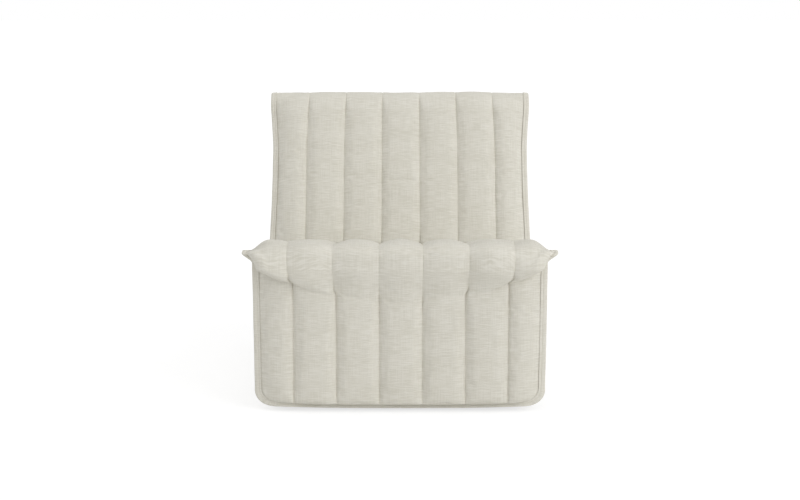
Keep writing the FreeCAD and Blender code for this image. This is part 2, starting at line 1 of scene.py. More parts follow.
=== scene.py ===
"""Looks of a low armless lounge chair wrapped in channel-quilted linen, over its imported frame.

The chair is dressed as it is sewn. Two quilted pads wrap the body: one from the front hem over
the soft seat roll to the crease, one from the crease over the top to the rear hem. A flat sewn
welt follows their side edges and makes the pointed ears at the ends of the roll. Cloth panels
close the sides, and a thin black cloth closes the underside.

Metres, Z up, X to the right seen from the front. Right means the +X side. The side plane is
(y, z). The pairs given to ramp hold a start and the length over which a share grows.
"""

from __future__ import annotations

import logging
import math
from collections.abc import Callable
from dataclasses import dataclass, field
from enum import Enum

import bmesh
import bpy
import numpy as np
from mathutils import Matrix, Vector, noise


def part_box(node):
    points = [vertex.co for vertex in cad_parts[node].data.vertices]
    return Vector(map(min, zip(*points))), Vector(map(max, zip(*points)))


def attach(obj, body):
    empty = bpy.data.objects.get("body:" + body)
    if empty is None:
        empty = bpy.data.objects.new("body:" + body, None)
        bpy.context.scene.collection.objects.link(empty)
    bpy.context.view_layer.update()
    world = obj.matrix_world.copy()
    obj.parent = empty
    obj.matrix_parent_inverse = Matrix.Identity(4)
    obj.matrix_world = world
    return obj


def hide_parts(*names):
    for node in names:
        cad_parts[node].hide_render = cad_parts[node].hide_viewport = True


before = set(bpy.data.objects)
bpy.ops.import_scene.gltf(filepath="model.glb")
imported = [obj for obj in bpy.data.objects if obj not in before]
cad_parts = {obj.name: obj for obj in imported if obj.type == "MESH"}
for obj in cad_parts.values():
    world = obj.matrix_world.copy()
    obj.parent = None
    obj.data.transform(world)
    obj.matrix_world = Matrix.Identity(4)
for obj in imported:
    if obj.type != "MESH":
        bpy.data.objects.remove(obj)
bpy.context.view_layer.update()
LOG = logging.getLogger("lounge_chair")
BODY = "root"
PLACE_ATTRIBUTE = "cloth_place"
SMOOTH_ANGLE = math.radians(50)

Array = np.ndarray
Numbers = np.ndarray | float
Material = bpy.types.Material
Piece = bpy.types.Object


# Shader maths


def arithmetic(operation: str, reflected: bool = False) -> Callable[[Wire, Wire | float], Wire]:
    """Operator of a wire that adds one step of arithmetic, the other value first if reflected."""

    def apply(wire: Wire, other: Wire | float) -> Wire:
        """Wires both values into one node."""
        return wire.bench.math(operation, *((other, wire) if reflected else (wire, other)))

    return apply


@dataclass
class Wire:
    """Output of a shader node, ready for arithmetic on plain values."""

    bench: Bench
    socket: bpy.types.NodeSocket | None

    __add__, __radd__ = arithmetic("ADD"), arithmetic("ADD", True)
    __sub__, __rsub__ = arithmetic("SUBTRACT"), arithmetic("SUBTRACT", True)
    __mul__, __rmul__ = arithmetic("MULTIPLY"), arithmetic("MULTIPLY", True)
    __truediv__, __rtruediv__ = arithmetic("DIVIDE"), arithmetic("DIVIDE", True)

    def sine(self) -> Wire:
        """Sine of this value in radians."""
        return self.bench.math("SINE", self)

    def step(self, low: float, high: float) -> Wire:
        """Smooth step from 0 at low to 1 at high."""
        settings = {"interpolation_type": "SMOOTHSTEP"}
        return self.bench.node("ShaderNodeMapRange", settings, {0: self, 1: low, 2: high})


class Bench:
    """Adds the nodes of one material and wires them up."""

    def __init__(self, tree: bpy.types.NodeTree) -> None:
        """Clears the tree and keeps it."""
        self.tree = tree
        tree.nodes.clear()

    def node(self, kind: str, settings: dict | None = None, inputs: dict | None = None, out: int = 0) -> Wire:
        """Adds one node.

        Args:
            kind: Blender's name of the node type.
            settings: Properties of the node, set first.
            inputs: Values or wires by the socket's name or number.
            out: Number of the output that the wire carries.

        Returns:
            The chosen output.
        """
        made = self.tree.nodes.new(kind)
        for name, value in (settings or {}).items():
            setattr(made, name, value)
        for place, value in (inputs or {}).items():
            socket = made.inputs[place]
            if isinstance(value, Wire):
                self.tree.links.new(value.socket, socket)
            else:
                socket.default_value = value
        return Wire(self, made.outputs[out] if made.outputs else None)

    def math(self, operation: str, *values: Wire | float) -> Wire:
        """One step of arithmetic on numbers."""
        return self.node("ShaderNodeMath", {"operation": operation}, dict(enumerate(values)))

    def mix(self, share: Wire | float, low: Wire | tuple, high: Wire | tuple) -> Wire:
        """Colour between two colours."""
        inputs = {0: share, 6: rgba(low), 7: rgba(high)}
        return self.node("ShaderNodeMix", {"data_type": "RGBA"}, inputs, out=2)

    def vector(self, x: Wire | float, y: Wire | float, z: Wire | float) -> Wire:
        """Vector of three values."""
        return self.node("ShaderNodeCombineXYZ", None, {0: x, 1: y, 2: z})

    def parts(self, vector: Wire) -> tuple[Wire, ...]:
        """The three values of a vector."""
        made = self.node("ShaderNodeSeparateXYZ", None, {0: vector}).socket.node
        return tuple(Wire(self, s) for s in made.outputs)

    def object_place(self) -> Wire:
        """Place in the object's own coordinates."""
        return self.node("ShaderNodeTexCoord", out=3)

    def cloth_place(self) -> Wire:
        """Place on the cloth in metres, across and along, kept with each piece."""
        return self.node("ShaderNodeAttribute", {"attribute_name": PLACE_ATTRIBUTE}, out=1)

    def cloud(self, place: Wire, scale: float, detail: float = 2.0, rough: float = 0.5) -> Wire:
        """Soft noise round one half."""
        inputs = {"Vector": place, "Scale": scale, "Detail": detail, "Roughness": rough}
        return self.node("ShaderNodeTexNoise", None, inputs)

    def cells(self, place: Wire, scale: float) -> Wire:
        """Distance from the middle of each of many small cells."""
        return self.node("ShaderNodeTexVoronoi", None, {"Vector": place, "Scale": scale})

    def surface(self, colour: Wire, roughness: Wire, relief: Wire, bump: tuple, **more: float) -> None:
        """Ends the material with its surface.

        Args:
            colour: Its colour.
            roughness: Its roughness.
            relief: Pattern of its heights.
            bump: Height of the pattern in metres and how strongly it shows.
            more: Other inputs of the surface, with a line for each space in the name.
        """
        heights = {"Height": relief, "Distance": bump[0], "Strength": bump[1]}
        inputs = {name.replace("_", " "): value for name, value in more.items()}
        inputs |= {"Base Color": colour, "Roughness": roughness}
        inputs["Normal"] = self.node("ShaderNodeBump", None, heights)
        self.close(self.node("ShaderNodeBsdfPrincipled", None, inputs))

    def close(self, shader: Wire) -> None:
        """Sends a shader to the material's output."""
        self.node("ShaderNodeOutputMaterial", None, {"Surface": shader})


def rgba(colour: Wire | tuple) -> Wire | tuple:
    """A colour with its alpha, or a wire as it is."""
    return colour if isinstance(colour, Wire) else (*colour, 1.0)


# Finishes


@dataclass(frozen=True)
class Finish:
    """A finish that lays its own nodes."""

    name: str

    def lay(self, bench: Bench) -> None:
        """Lays the nodes of the finish."""
        raise NotImplementedError

    def material(self) -> Material:
        """The finish as a new material."""
        made = bpy.data.materials.new(self.name)
        made.use_nodes = True
        self.lay(Bench(made.node_tree))
        return made


@dataclass(frozen=True)
class LinenFinish(Finish):
    """Ivory linen-like weave with thick and thin weft threads."""

    pale: tuple = (0.715, 0.694, 0.625)
    deep: tuple = (0.62, 0.597, 0.518)
    slub: tuple = (0.75, 0.734, 0.67)
    thread_pitch: float = 0.0013
    roughness: float = 0.88

    def lay(self, bench: Bench) -> None:
        """Lays weave, slubs and the melange of the yarn."""
        across, along, seed = bench.parts(bench.cloth_place())
        drift = bench.cloud(bench.vector(across * 30, along * 30, seed), 1.0) - 0.5
        weft = bench.cloud(bench.vector(across * 30, along * 440 + drift * 3, seed), 1.0, 2.0, 0.6)
        fine_weft = bench.cloud(bench.vector(across * 30, along * 900, seed + 7), 1.0, 1.0)
        warp = bench.cloud(bench.vector(across * 520 + drift * 2, along * 14, seed + 3), 1.0, 2.0, 0.6)
        patch = bench.cloud(bench.vector(across * 9, along * 26, seed + 5), 1.0)
        turns = 2 * math.pi / self.thread_pitch
        over = (across * turns + drift * 2).sine()
        under = (along * turns + drift * 2).sine()
        weave = 0.5 + 0.5 * over * under
        slubs = weft.step(0.6, 0.78)
        tone = 0.5 + (weft - 0.5) * 2.0 + (warp - 0.5) * 1.1 + (fine_weft - 0.5) * 0.9
        tone = tone + (patch - 0.5) * 0.6 + (weave - 0.5) * 0.18
        base = bench.mix(tone.step(0.08, 0.92), self.deep, self.pale)
        colour = bench.mix(slubs * 0.6, base, self.slub)
        rough = self.roughness - slubs * 0.05 + (1 - weave) * 0.04
        relief = weave * 0.55 + slubs * 0.9 + (weft - 0.5) * 0.9 + (warp - 0.5) * 0.5 + fine_weft * 0.3
        sheen = {"Sheen_Weight": 0.12, "Sheen_Roughness": 0.5}
        bench.surface(colour, rough, relief, (0.00045, 0.8), Specular_IOR_Level=0.25, **sheen)


@dataclass(frozen=True)
class ThreadFinish(Finish):
    """Twisted sewing thread."""

    colour: tuple = (0.66, 0.63, 0.53)
    shade: float = 0.78
    twist_pitch: float = 0.0006

    def lay(self, bench: Bench) -> None:
        """Lays the twist."""
        x, y, z = bench.parts(bench.object_place())
        twist = ((x + y + z) * (2 * math.pi / self.twist_pitch)).sine() * 0.5 + 0.5
        shade = bench.mix(twist * 0.4, self.colour, tuple(c * self.shade for c in self.colour))
        bench.surface(shade, 0.55 + twist * 0.1, twist, (0.0001, 0.6))


@dataclass(frozen=True)
class WoodFinish(Finish):
    """Planed softwood or sanded ply, its grain along one way."""

    early: tuple = (0.78, 0.6, 0.38)
    late: tuple = (0.56, 0.37, 0.19)
    grain: tuple = (3.0, 60.0, 60.0)

    def lay(self, bench: Bench) -> None:
        """Lays rings, pores and a slight relief."""
        along = bench.vector(*(p * g for p, g in zip(bench.parts(bench.object_place()), self.grain)))
        rings = bench.cloud(along, 1.0, 4.0, 0.6)
        pores = bench.cloud(along, 9.0)
        colour = bench.mix(rings.step(0.35, 0.7), self.early, self.late)
        colour = bench.mix(pores.step(0.62, 0.8) * 0.3, colour, self.late)
        bench.surface(colour, 0.5 + pores * 0.25, rings + pores * 0.4, (0.0003, 0.5))


@dataclass(frozen=True)
class FoamFinish(Finish):
    """Open-cell foam, with painted shade between its cells."""

    light: tuple = (0.86, 0.8, 0.6)
    dark: tuple = (0.68, 0.6, 0.4)
    cell_scale: float = 420.0

    def lay(self, bench: Bench) -> None:
        """Lays the cells, with painted shade where their relief sinks, and a random tone."""
        place = bench.object_place()
        cells = bench.cells(place, self.cell_scale)
        # The colour darkens towards each cell's rim, where the relief sinks: painted shade. The cloud adds a random
        # tone.
        colour = bench.mix(cells.step(0.1, 0.7) * 0.6 + bench.cloud(place, 6.0) * 0.3, self.light, self.dark)
        bench.surface(colour, 0.9 - cells * 0.08, 1 - cells, (0.0008, 0.7))


@dataclass(frozen=True)
class StrapFinish(Finish):
    """Woven elastic webbing, its ribs painted light on their raised tops and dark between them."""

    dark: tuple = (0.03, 0.03, 0.035)
    light: tuple = (0.16, 0.15, 0.13)
    pitch: float = 0.0022

    def lay(self, bench: Bench) -> None:
        """Lays the ribs of the weave with painted highlight and shade, and random wear."""
        x, y, z = bench.parts(bench.object_place())
        turns = 2 * math.pi / self.pitch
        ribs = (x * turns).sine() * ((y + z) * turns).sine() * 0.5 + 0.5
        wear = bench.cloud(bench.object_place(), 25.0)
        # The ribs' colour follows their relief: painted highlight on the raised tops, painted shade between them. The
        # wear is random.
        colour = bench.mix(ribs * 0.5 + wear * 0.3, self.dark, self.light)
        bench.surface(colour, 0.7 + wear * 0.15, ribs, (0.0004, 0.8))


@dataclass(frozen=True)
class DustClothFinish(Finish):
    """Thin black non-woven cloth with its pressed dimples."""

    colour: tuple = (0.018, 0.018, 0.02)
    dust: tuple = (0.075, 0.07, 0.062)
    dimple_scale: float = 700.0

    def lay(self, bench: Bench) -> None:
        """Lays the pressed dots and a little dust."""
        place = bench.object_place()
        fibre = bench.cloud(place, 240.0, 4.0, 0.7)
        colour = bench.mix(fibre.step(0.5, 0.85) * 0.6, self.colour, self.dust)
        relief = bench.cells(place, self.dimple_scale) + fibre * 0.5
        bench.surface(colour, 0.8 + fibre * 0.12, relief, (0.0003, 0.7))


@dataclass(frozen=True)
class PlasticFinish(Finish):
    """Moulded black plastic with scuffed soles."""

    colour: tuple = (0.02, 0.02, 0.021)
    scuff: tuple = (0.11, 0.105, 0.1)
    scuff_height: float = 0.004

    def lay(self, bench: Bench) -> None:
        """Lays the mould grain and the scuffs near the floor."""
        place = bench.object_place()
        low = 1 - bench.parts(place)[2].step(0.0, self.scuff_height)
        worn = bench.cloud(place, 160.0, 4.0, 0.7).step(0.5, 0.7) * low
        colour = bench.mix(worn * 0.7, self.colour, self.scuff)
        bench.surface(colour, 0.42 + worn * 0.3, bench.cloud(place, 900.0), (0.0001, 0.5))


@dataclass(frozen=True)
class SteelFinish(Finish):
    """Drawn steel wire."""

    colour: tuple = (0.56, 0.56, 0.57)
    tarnish: tuple = (0.36, 0.33, 0.3)

    def lay(self, bench: Bench) -> None:
        """Lays draw marks and tarnish."""
        x, y, z = bench.parts(bench.object_place())
        marks = bench.cloud(bench.vector(x * 900, y * 900, z * 60), 1.0)
        dull = bench.cloud(bench.object_place(), 80.0, 3.0)
        colour = bench.mix(dull.step(0.4, 0.7) * 0.6, self.colour, self.tarnish)
        bench.surface(colour, 0.28 + dull * 0.25, marks, (0.00005, 0.5), Metallic=1.0)


@dataclass(frozen=True)
class BoardFinish(Finish):
    """Pressed fibre board."""

    light: tuple = (0.5, 0.36, 0.22)
    dark: tuple = (0.31, 0.2, 0.11)

    def lay(self, bench: Bench) -> None:
        """Lays the matted fibres."""
        fibres = bench.cloud(bench.object_place(), 210.0, 6.0, 0.75)
        colour = bench.mix(fibres.step(0.3, 0.7), self.dark, self.light)
        bench.surface(colour, 0.6 + fibres * 0.2, fibres, (0.0004, 0.5))


@dataclass(frozen=True)
class StudioFinish(Finish):
    """White studio floor that keeps a faint shadow and is white for the camera."""

    colour: tuple = (0.9, 0.9, 0.9)
    white_share: float = 0.62
    white: float = 1.17

    def lay(self, bench: Bench) -> None:
        """Lays the matt floor and the camera's white."""
        matt = bench.node("ShaderNodeBsdfDiffuse", None, {"Color": rgba(self.colour)})
        seen = bench.node("ShaderNodeLightPath")
        glow = bench.node("ShaderNodeEmission", None, {"Color": rgba((1, 1, 1)), "Strength": self.white})
        bench.close(bench.node("ShaderNodeMixShader", None, {0: seen * self.white_share, 1: matt, 2: glow}))


# Numbers across a pad


def ease(share: Numbers) -> Numbers:
    """Smooth step from 0 to 1."""
    s = np.clip(share, 0.0, 1.0)
    return s * s * (3 - 2 * s)


def ramp(value: Numbers, run: tuple) -> Numbers:
    """Smooth step of a value over a run, given as its start and its length."""
    return ease((value - run[0]) / run[1])


def mixed(low: Numbers, high: Numbers, share: Numbers) -> Numbers:
    """Value at a share of the way from low to high."""
    return low + (high - low) * share


def bell(away: Numbers, width: float) -> Numbers:
    """Bell curve over a distance, 1 in its middle."""
    return np.exp(-((away / width) ** 2))


def turned(degrees: Numbers) -> Array:
    """Unit directions in the side plane that lean up from the front by an angle."""
    a = np.radians(degrees)
    return np.stack([-np.cos(a), np.sin(a)], axis=-1)


def even(low: float, high: float, pace: float) -> Array:
    """Even places from low up to but without high, about one pace apart."""
    count = max(2, round((high - low) / pace))
    return np.linspace(low, high, count + 1)[:-1]


def lengths(points: Array) -> Array:
    """Length along a line at each of its points."""
    return np.concatenate([[0], np.cumsum(np.linalg.norm(np.diff(points, axis=0), axis=1))])


def spatial(x: Numbers, side: Array) -> Array:
    """Points or ways in space, from their X and what they are in the side plane."""
    return np.column_stack([np.broadcast_to(x, len(side)), side])


def wander(places: Array, size: float, seed: float) -> Array:
    """Slow noise from -1 to 1 at each place.

    Args:
        places: Points, one per row.
        size: Length over which the noise changes.
        seed: Number that picks the noise.

    Returns:
        One value per point.
    """
    shift = Vector((seed * 3.7, seed * 1.3, seed * 5.1))
    return np.array([noise.noise(Vector(p) / size + shift) for p in places])


class Side(Enum):
    """Side of the chair, as the sign of X."""

    RIGHT = 1
    LEFT = -1

    @property
    def word(self) -> str:
        """The side's name in small letters."""
        return self.name.lower()


@dataclass(frozen=True)
class Flat:
    """Flat part of the lining in the side plane, with the edge at its rounding."""

    normal: Array
    edge: Array

    @classmethod
    def at(cls, centre: tuple, radius: float, turn: float) -> Flat:
        """Flat that meets a rounding at an angle."""
        normal = turned(turn)
        return cls(normal, np.array(centre) + normal * radius)

    @property
    def way(self) -> Array:
        """Way along the flat, with the cloth's path from front to rear."""
        return np.array([self.normal[1], -self.normal[0]])


@dataclass(frozen=True)
class Lining:
    """Surface under the quilted pads in the side plane, the same as the frame's."""

    half_body: float = 0.356
    ear_reach: float = 0.0295
    welt_reach: float = 0.017
    front_y: float = -0.383
    hem_z: float = 0.016
    hem_reach: float = 0.0123
    corner_radius: float = 0.045
    nose_centre: tuple = (-0.361, 0.373)
    nose_radius: float = 0.022
    seat_turn: float = 101.0
    back_lean: float = 24.0
    rear_turn: float = 187.0
    top_centre: tuple = (0.37, 0.675)
    top_radius: float = 0.043
    edge_loft: float = 0.016
    hem_bow: float = 0.0065
    mitre_height: float = 0.9

    @property
    def seat(self) -> Flat:
        """The seat, from the roll to the crease."""
        return Flat.at(self.nose_centre, self.nose_radius, self.seat_turn)

    @property
    def back(self) -> Flat:
        """The front of the back, from the crease up to its edge under the top."""
        return Flat.at(self.top_centre, self.top_radius, self.back_lean)

    @property
    def rear(self) -> Flat:
        """The rear, from its edge under the top down to the hem."""
        return Flat.at(self.top_centre, self.top_radius, self.rear_turn)

    @property
    def rear_run(self) -> float:
        """Length of the flat of the rear, down to its hem."""
        rear = self.rear
        return (self.hem_z - self.edge_loft * rear.normal[1] - rear.edge[1]) / rear.way[1]

    @property
    def crease(self) -> Array:
        """Place where seat and back meet."""
        seat, back = self.seat, self.back
        run = np.linalg.solve(np.stack([seat.way, back.way], axis=1), back.edge - seat.edge)[0]
        return seat.edge + seat.way * run

    @property
    def seat_run(self) -> float:
        """Length of the flat seat."""
        return float(np.linalg.norm(self.crease - self.seat.edge))

    @property
    def back_run(self) -> float:
        """Length of the flat of the back."""
        return float(np.linalg.norm(self.back.edge - self.crease))

    def bow(self, x: Numbers) -> Numbers:
        """How far the hem is drawn up at a place across the chair."""
        return self.hem_bow * (np.abs(x) / self.half_body) ** 3

    def mitre(self) -> Array:
        """Rise in the plane where the two pads meet, for one unit of loft."""
        normal = self.seat.normal
        way = normal + self.back.normal
        way = way / np.linalg.norm(way)
        return way * (self.mitre_height / float(way @ normal))

    def front(self, run: Array) -> tuple[Array, Array]:
        """Feet and rises up the front and round the nose of the seat.

        Args:
            run: Lengths along the lining, from the floor up.

        Returns:
            Places on the lining and unit ways out from it, in the side plane.
        """
        low = self.nose_centre[1]
        rise = turned(np.degrees(np.clip(run - low, 0, None) / self.nose_radius))
        foot = np.array(self.nose_centre) + rise * self.nose_radius
        foot[..., 1] += np.minimum(run - low, 0)
        return foot, rise


@dataclass(frozen=True)
class Channels:
    """Channels across a pad: columns that follow the seams."""

    count: int = 7
    pitch: float = 0.1094
    cells: int = 16
    crowding: float = 0.7
    flank_power: float = 16.0
    fan_start: float = 0.16
    shift: float = 0.0022
    top_levels: tuple = (0.0025, 0.0004, 0.0006, 0.002, 0.0006, 0.0, 0.0025)

    @property
    def seam_columns(self) -> Array:
        """Numbers of the columns on the sewn seams."""
        return np.arange(1, self.count) * self.cells

    def shares(self) -> tuple[Array, Array]:
        """Channel of each column and its share of the way across that channel."""
        column = np.arange(self.count * self.cells + 1)
        channel = np.minimum(column // self.cells, self.count - 1)
        share = column / self.cells - channel
        return channel, mixed(share, 0.5 - 0.5 * np.cos(math.pi * share), self.crowding)

    def across(self, half_width: float, fan: float) -> Array:
        """Places of all columns across one row.

        Args:
            half_width: Half of the row's width.
            fan: How far the outer seams spread, 1 for not at all.

        Returns:
            X of each column.
        """
        seams = (np.arange(1, self.count) - self.count / 2) * self.pitch
        seams = seams * (1 + (fan - 1) * ease(np.abs(seams) / self.fan_start)) + self.shift
        places = np.concatenate([[-half_width], seams, [half_width]])
        channel, share = self.shares()
        return mixed(places[channel], places[channel + 1], share)

    def levels(self) -> Array:
        """How far each column lies under the highest channel along the top of the back."""
        channel, share = self.shares()
        return np.interp(channel + share, np.arange(self.count) + 0.5, self.top_levels)

    def valley(self, roundness: float) -> Array:
        """How deep each column lies between crown, 0, and seam, 1.

        Args:
            roundness: 1 for a round channel, 0 for a flat one with steep flanks at its seams.

        Returns:
            One value per column. The outer edges have no seam.
        """
        channel, share = self.shares()
        offset = 2 * share - 1
        outer = ((channel == 0) & (offset < 0)) | ((channel == self.count - 1) & (offset > 0))
        offset = np.where(outer, 0, offset)
        return roundness * offset**2 + (1 - roundness) * np.abs(offset) ** self.flank_power


@dataclass
class Row:
    """One row of a pad, from side to side."""

    x: Array
    foot: Array
    rise: Array
    height: Array
    along: Array
    half_width: float
    edge: float
    ear: float
    cover: float
    out: tuple


@dataclass
class Grid:
    """Rows of a pad as arrays, with what is known at its two edges.

    The facts of a row are its half width, the height of its edge, its shares of ear and cover,
    and the way out at its edge, across and down.
    """

    points: Array
    place: Array
    edge_foot: Array
    edge_rise: Array
    facts: Array

    @classmethod
    def of(cls, rows: list[Row]) -> Grid:
        """Grid of the given rows."""
        return cls(
            np.stack([spatial(r.x, r.foot + r.rise * r.height[:, None]) for r in rows]),
            np.stack([np.column_stack([r.x, r.along, r.x * 0]) for r in rows]),
            np.stack([r.foot[-1] for r in rows]),
            np.stack([r.rise[-1] for r in rows]),
            np.array([[r.half_width, r.edge, r.ear, r.cover, *r.out] for r in rows]),
        )

    def finer(self, cells: int) -> Grid:
        """The grid with a point between each two, smooth along and smooth between seams."""
        points, place = [across_channels(halved(v), cells) for v in (self.points, self.place)]
        return Grid(points, place, *(halved(v) for v in (self.edge_foot, self.edge_rise, self.facts)))


def halved(values: Array) -> Array:
    """Values with one more between each two rows, on a smooth curve through them."""
    ends = np.concatenate([2 * values[:1] - values[1:2], values, 2 * values[-1:] - values[-2:-1]])
    made = np.empty((2 * len(values) - 1, *values.shape[1:]))
    made[0::2] = values
    made[1::2] = (9 * (ends[1:-2] + ends[2:-1]) - ends[:-3] - ends[3:]) / 16
    return made


def across_channels(values: Array, cells: int) -> Array:
    """Values with one more between each two columns, smooth inside each channel only."""
    columns = values.swapaxes(0, 1)
    starts = range(0, len(columns) - 1, cells)
    blocks = [halved(columns[s : s + cells + 1])[bool(s) :] for s in starts]
    return np.concatenate(blocks).swapaxes(0, 1)


# Making meshes


def grid_faces(rows: int, columns: int) -> Array:
    """Corner numbers of the faces of a grid of points."""
    at = np.arange(rows * columns).reshape(rows, columns)
    corners = [at[:-1, :-1], at[:-1, 1:], at[1:, 1:], at[1:, :-1]]
    return np.stack(corners, axis=-1).reshape(-1, 4)


def piece_of(name: str, points: Array, faces: list) -> Piece:
    """New mesh piece from points and the corner numbers of its faces, turned outwards."""
    mesh = bpy.data.meshes.new(name)
    mesh.from_pydata(points.reshape(-1, 3).tolist(), [], [tuple(map(int, f)) for f in faces])
    made = bmesh.new()
    made.from_mesh(mesh)
    bmesh.ops.recalc_face_normals(made, faces=made.faces)
    made.to_mesh(mesh)
    made.free()
    mesh.validate()
    piece = bpy.data.objects.new(name, mesh)
    bpy.context.scene.collection.objects.link(piece)
    return piece


def tube_piece(name: str, rings: Array, places: Array, seed: float) -> Piece:
    """Closed tube through rings of points, with its ends capped.

    Args:
        name: Name of the piece.
        rings: Rings, points and coordinates.
        places: Place on the cloth of each point.
        seed: Number that shifts the cloth's pattern.

    Returns:
        The piece.
    """
    at = np.arange(rings.shape[0] * rings.shape[1]).reshape(rings.shape[:2])
    after = np.roll(at, -1, axis=1)
    faces = np.stack([at[:-1], after[:-1], after[1:], at[1:]], axis=-1).reshape(-1, 4).tolist()
    piece = piece_of(name, rings, faces + [at[0], at[-1]])
    keep_place(piece, places.reshape(-1, 3) + [0, 0, seed])
    return piece


def keep_place(piece: Piece, place: Array) -> None:
    """Keeps each point's place on the cloth with the piece."""
    held = piece.data.attributes.new(PLACE_ATTRIBUTE, "FLOAT_VECTOR", "POINT")
    held.data.foreach_set("vector", place.astype(np.float32).ravel())


def select_only(piece: Piece) -> None:
    """Selects one piece and makes it active."""
    bpy.ops.object.select_all(action="DESELECT")
    bpy.context.view_layer.objects.active = piece
    piece.select_set(True)


def edit_whole(operation: Callable, **settings: object) -> None:
    """Applies the active model's placing and works on its whole mesh with one operation."""
    bpy.ops.object.transform_apply(location=True, rotation=True, scale=True)
    bpy.ops.object.mode_set(mode="EDIT")
    bpy.ops.mesh.select_all(action="SELECT")
    operation(**settings)
    bpy.ops.object.mode_set(mode="OBJECT")


def thicken(piece: Piece, thickness: float, offset: float) -> None:
    """Gives a cloth its thickness, half to each side with offset 0 and all inwards with -1."""
    select_only(piece)
    solid = piece.modifiers.new("thickness", "SOLIDIFY")
    solid.thickness, solid.offset = thickness, offset
    bpy.ops.object.modifier_apply(modifier="thickness")


def discard(piece: Piece) -> None:
    """Removes a helper piece and its mesh."""
    mesh = piece.data
    bpy.data.objects.remove(piece)
    bpy.data.meshes.remove(mesh)


def finish_piece(piece: Piece, finish: Material, slot: str, *nodes: str) -> None:
    """Dresses a piece, lets it ride on the chair and hides what it stands for.

    Args:
        piece: The finished piece.
        finish: Its material.
        slot: Not used.
        nodes: Frame nodes that it stands for.
    """
    piece.data.materials.clear()
    piece.data.materials.append(finish)
    select_only(piece)
    bpy.ops.object.shade_smooth_by_angle(angle=SMOOTH_ANGLE)
    bpy.ops.object.select_all(action="DESELECT")
    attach(piece, BODY)
    if nodes:
        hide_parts(*nodes)
    LOG.info("%s: %d faces", piece.name, len(piece.data.polygons))


@dataclass
class Copies:
    """Copies of one small modelled shape, gathered for one piece."""

    points: Array
    faces: list
    made: list = field(default_factory=list)

    @classmethod
    def of_model(cls) -> Copies:
        """Takes the shape of the active model, which is then removed."""
        mesh = bpy.context.object.data
        points = np.array([v.co for v in mesh.vertices])
        faces = [tuple(f.vertices) for f in mesh.polygons]
        discard(bpy.context.object)
        return cls(points, faces)

    def add(self, axes: Array, place: Array) -> None:
        """Adds a copy with its own three axes round a place."""
        self.made.append(self.points @ axes + place)

    def piece(self, name: str) -> Piece:
        """All copies as one new piece."""
        starts = range(0, len(self.made) * len(self.points), len(self.points))
        faces = [tuple(i + start for i in f) for start in starts for f in self.faces]
        return piece_of(name, np.concatenate(self.made), faces)


@dataclass(frozen=True)
class Stuffing:
    """How a sewn cover swells over its filling, by a cloth simulation on its own grid."""

    pressure: float = 3.0
    slack: float = 0.004
    cap: float = 0.0018
    frames: int = 20
    mass: float = 0.3
    stretch: float = 20.0
    shear: float = 8.0
    bending: float = 0.6
    quality: int = 6
    middle: tuple = (0.0, 0.12, 0.3)

    def swell(self, points: Array, held: Array) -> Array:
        """Swells a grid of points.

        Args:
            points: Rows and columns of points.
            held: Which points are sewn down, as true or false.

        Returns:
            The moved points, none further away than the cap.
        """
        cover = piece_of("cover_trial", points, grid_faces(*held.shape))
        middle = Vector(self.middle)
        if sum((f.center - middle).dot(f.normal) * f.area for f in cover.data.polygons) < 0:
            cover.data.flip_normals()
        group = cover.vertex_groups.new(name="sewn")
        group.add([int(i) for i in np.flatnonzero(held.ravel())], 1.0, "REPLACE")
        self.set_cloth(cover.modifiers.new("cloth", "CLOTH"))
        scene = bpy.context.scene
        for number in range(1, self.frames + 1):
            scene.frame_set(number)
        done = cover.evaluated_get(bpy.context.evaluated_depsgraph_get())
        moved = np.empty(points.size)
        done.data.vertices.foreach_get("co", moved)
        scene.frame_set(1)
        discard(cover)
        shift = moved.reshape(points.shape) - points
        length = np.linalg.norm(shift, axis=-1, keepdims=True)
        LOG.info("swelled by up to %.1f mm, %.1f on average", length.max() * 1e3, length.mean() * 1e3)
        return points + shift * np.minimum(1.0, self.cap / np.maximum(length, 1e-9))

    def set_cloth(self, cloth: bpy.types.ClothModifier) -> None:
        """Sets the cloth's own values."""
        values = {
            "quality": self.quality,
            "mass": self.mass,
            "tension_stiffness": self.stretch,
            "compression_stiffness": self.stretch,
            "shear_stiffness": self.shear,
            "bending_stiffness": self.bending,
            "shrink_min": -self.slack,
            "use_pressure": True,
            "uniform_pressure_force": self.pressure,
            "vertex_group_mass": "sewn",
            "pin_stiffness": 1.0,
        }
        for name, value in values.items():
            setattr(cloth.settings, name, value)
        cloth.settings.effector_weights.gravity = 0
        cloth.collision_settings.use_collision = False
        cloth.point_cache.frame_start = 1
        cloth.point_cache.frame_end = self.frames


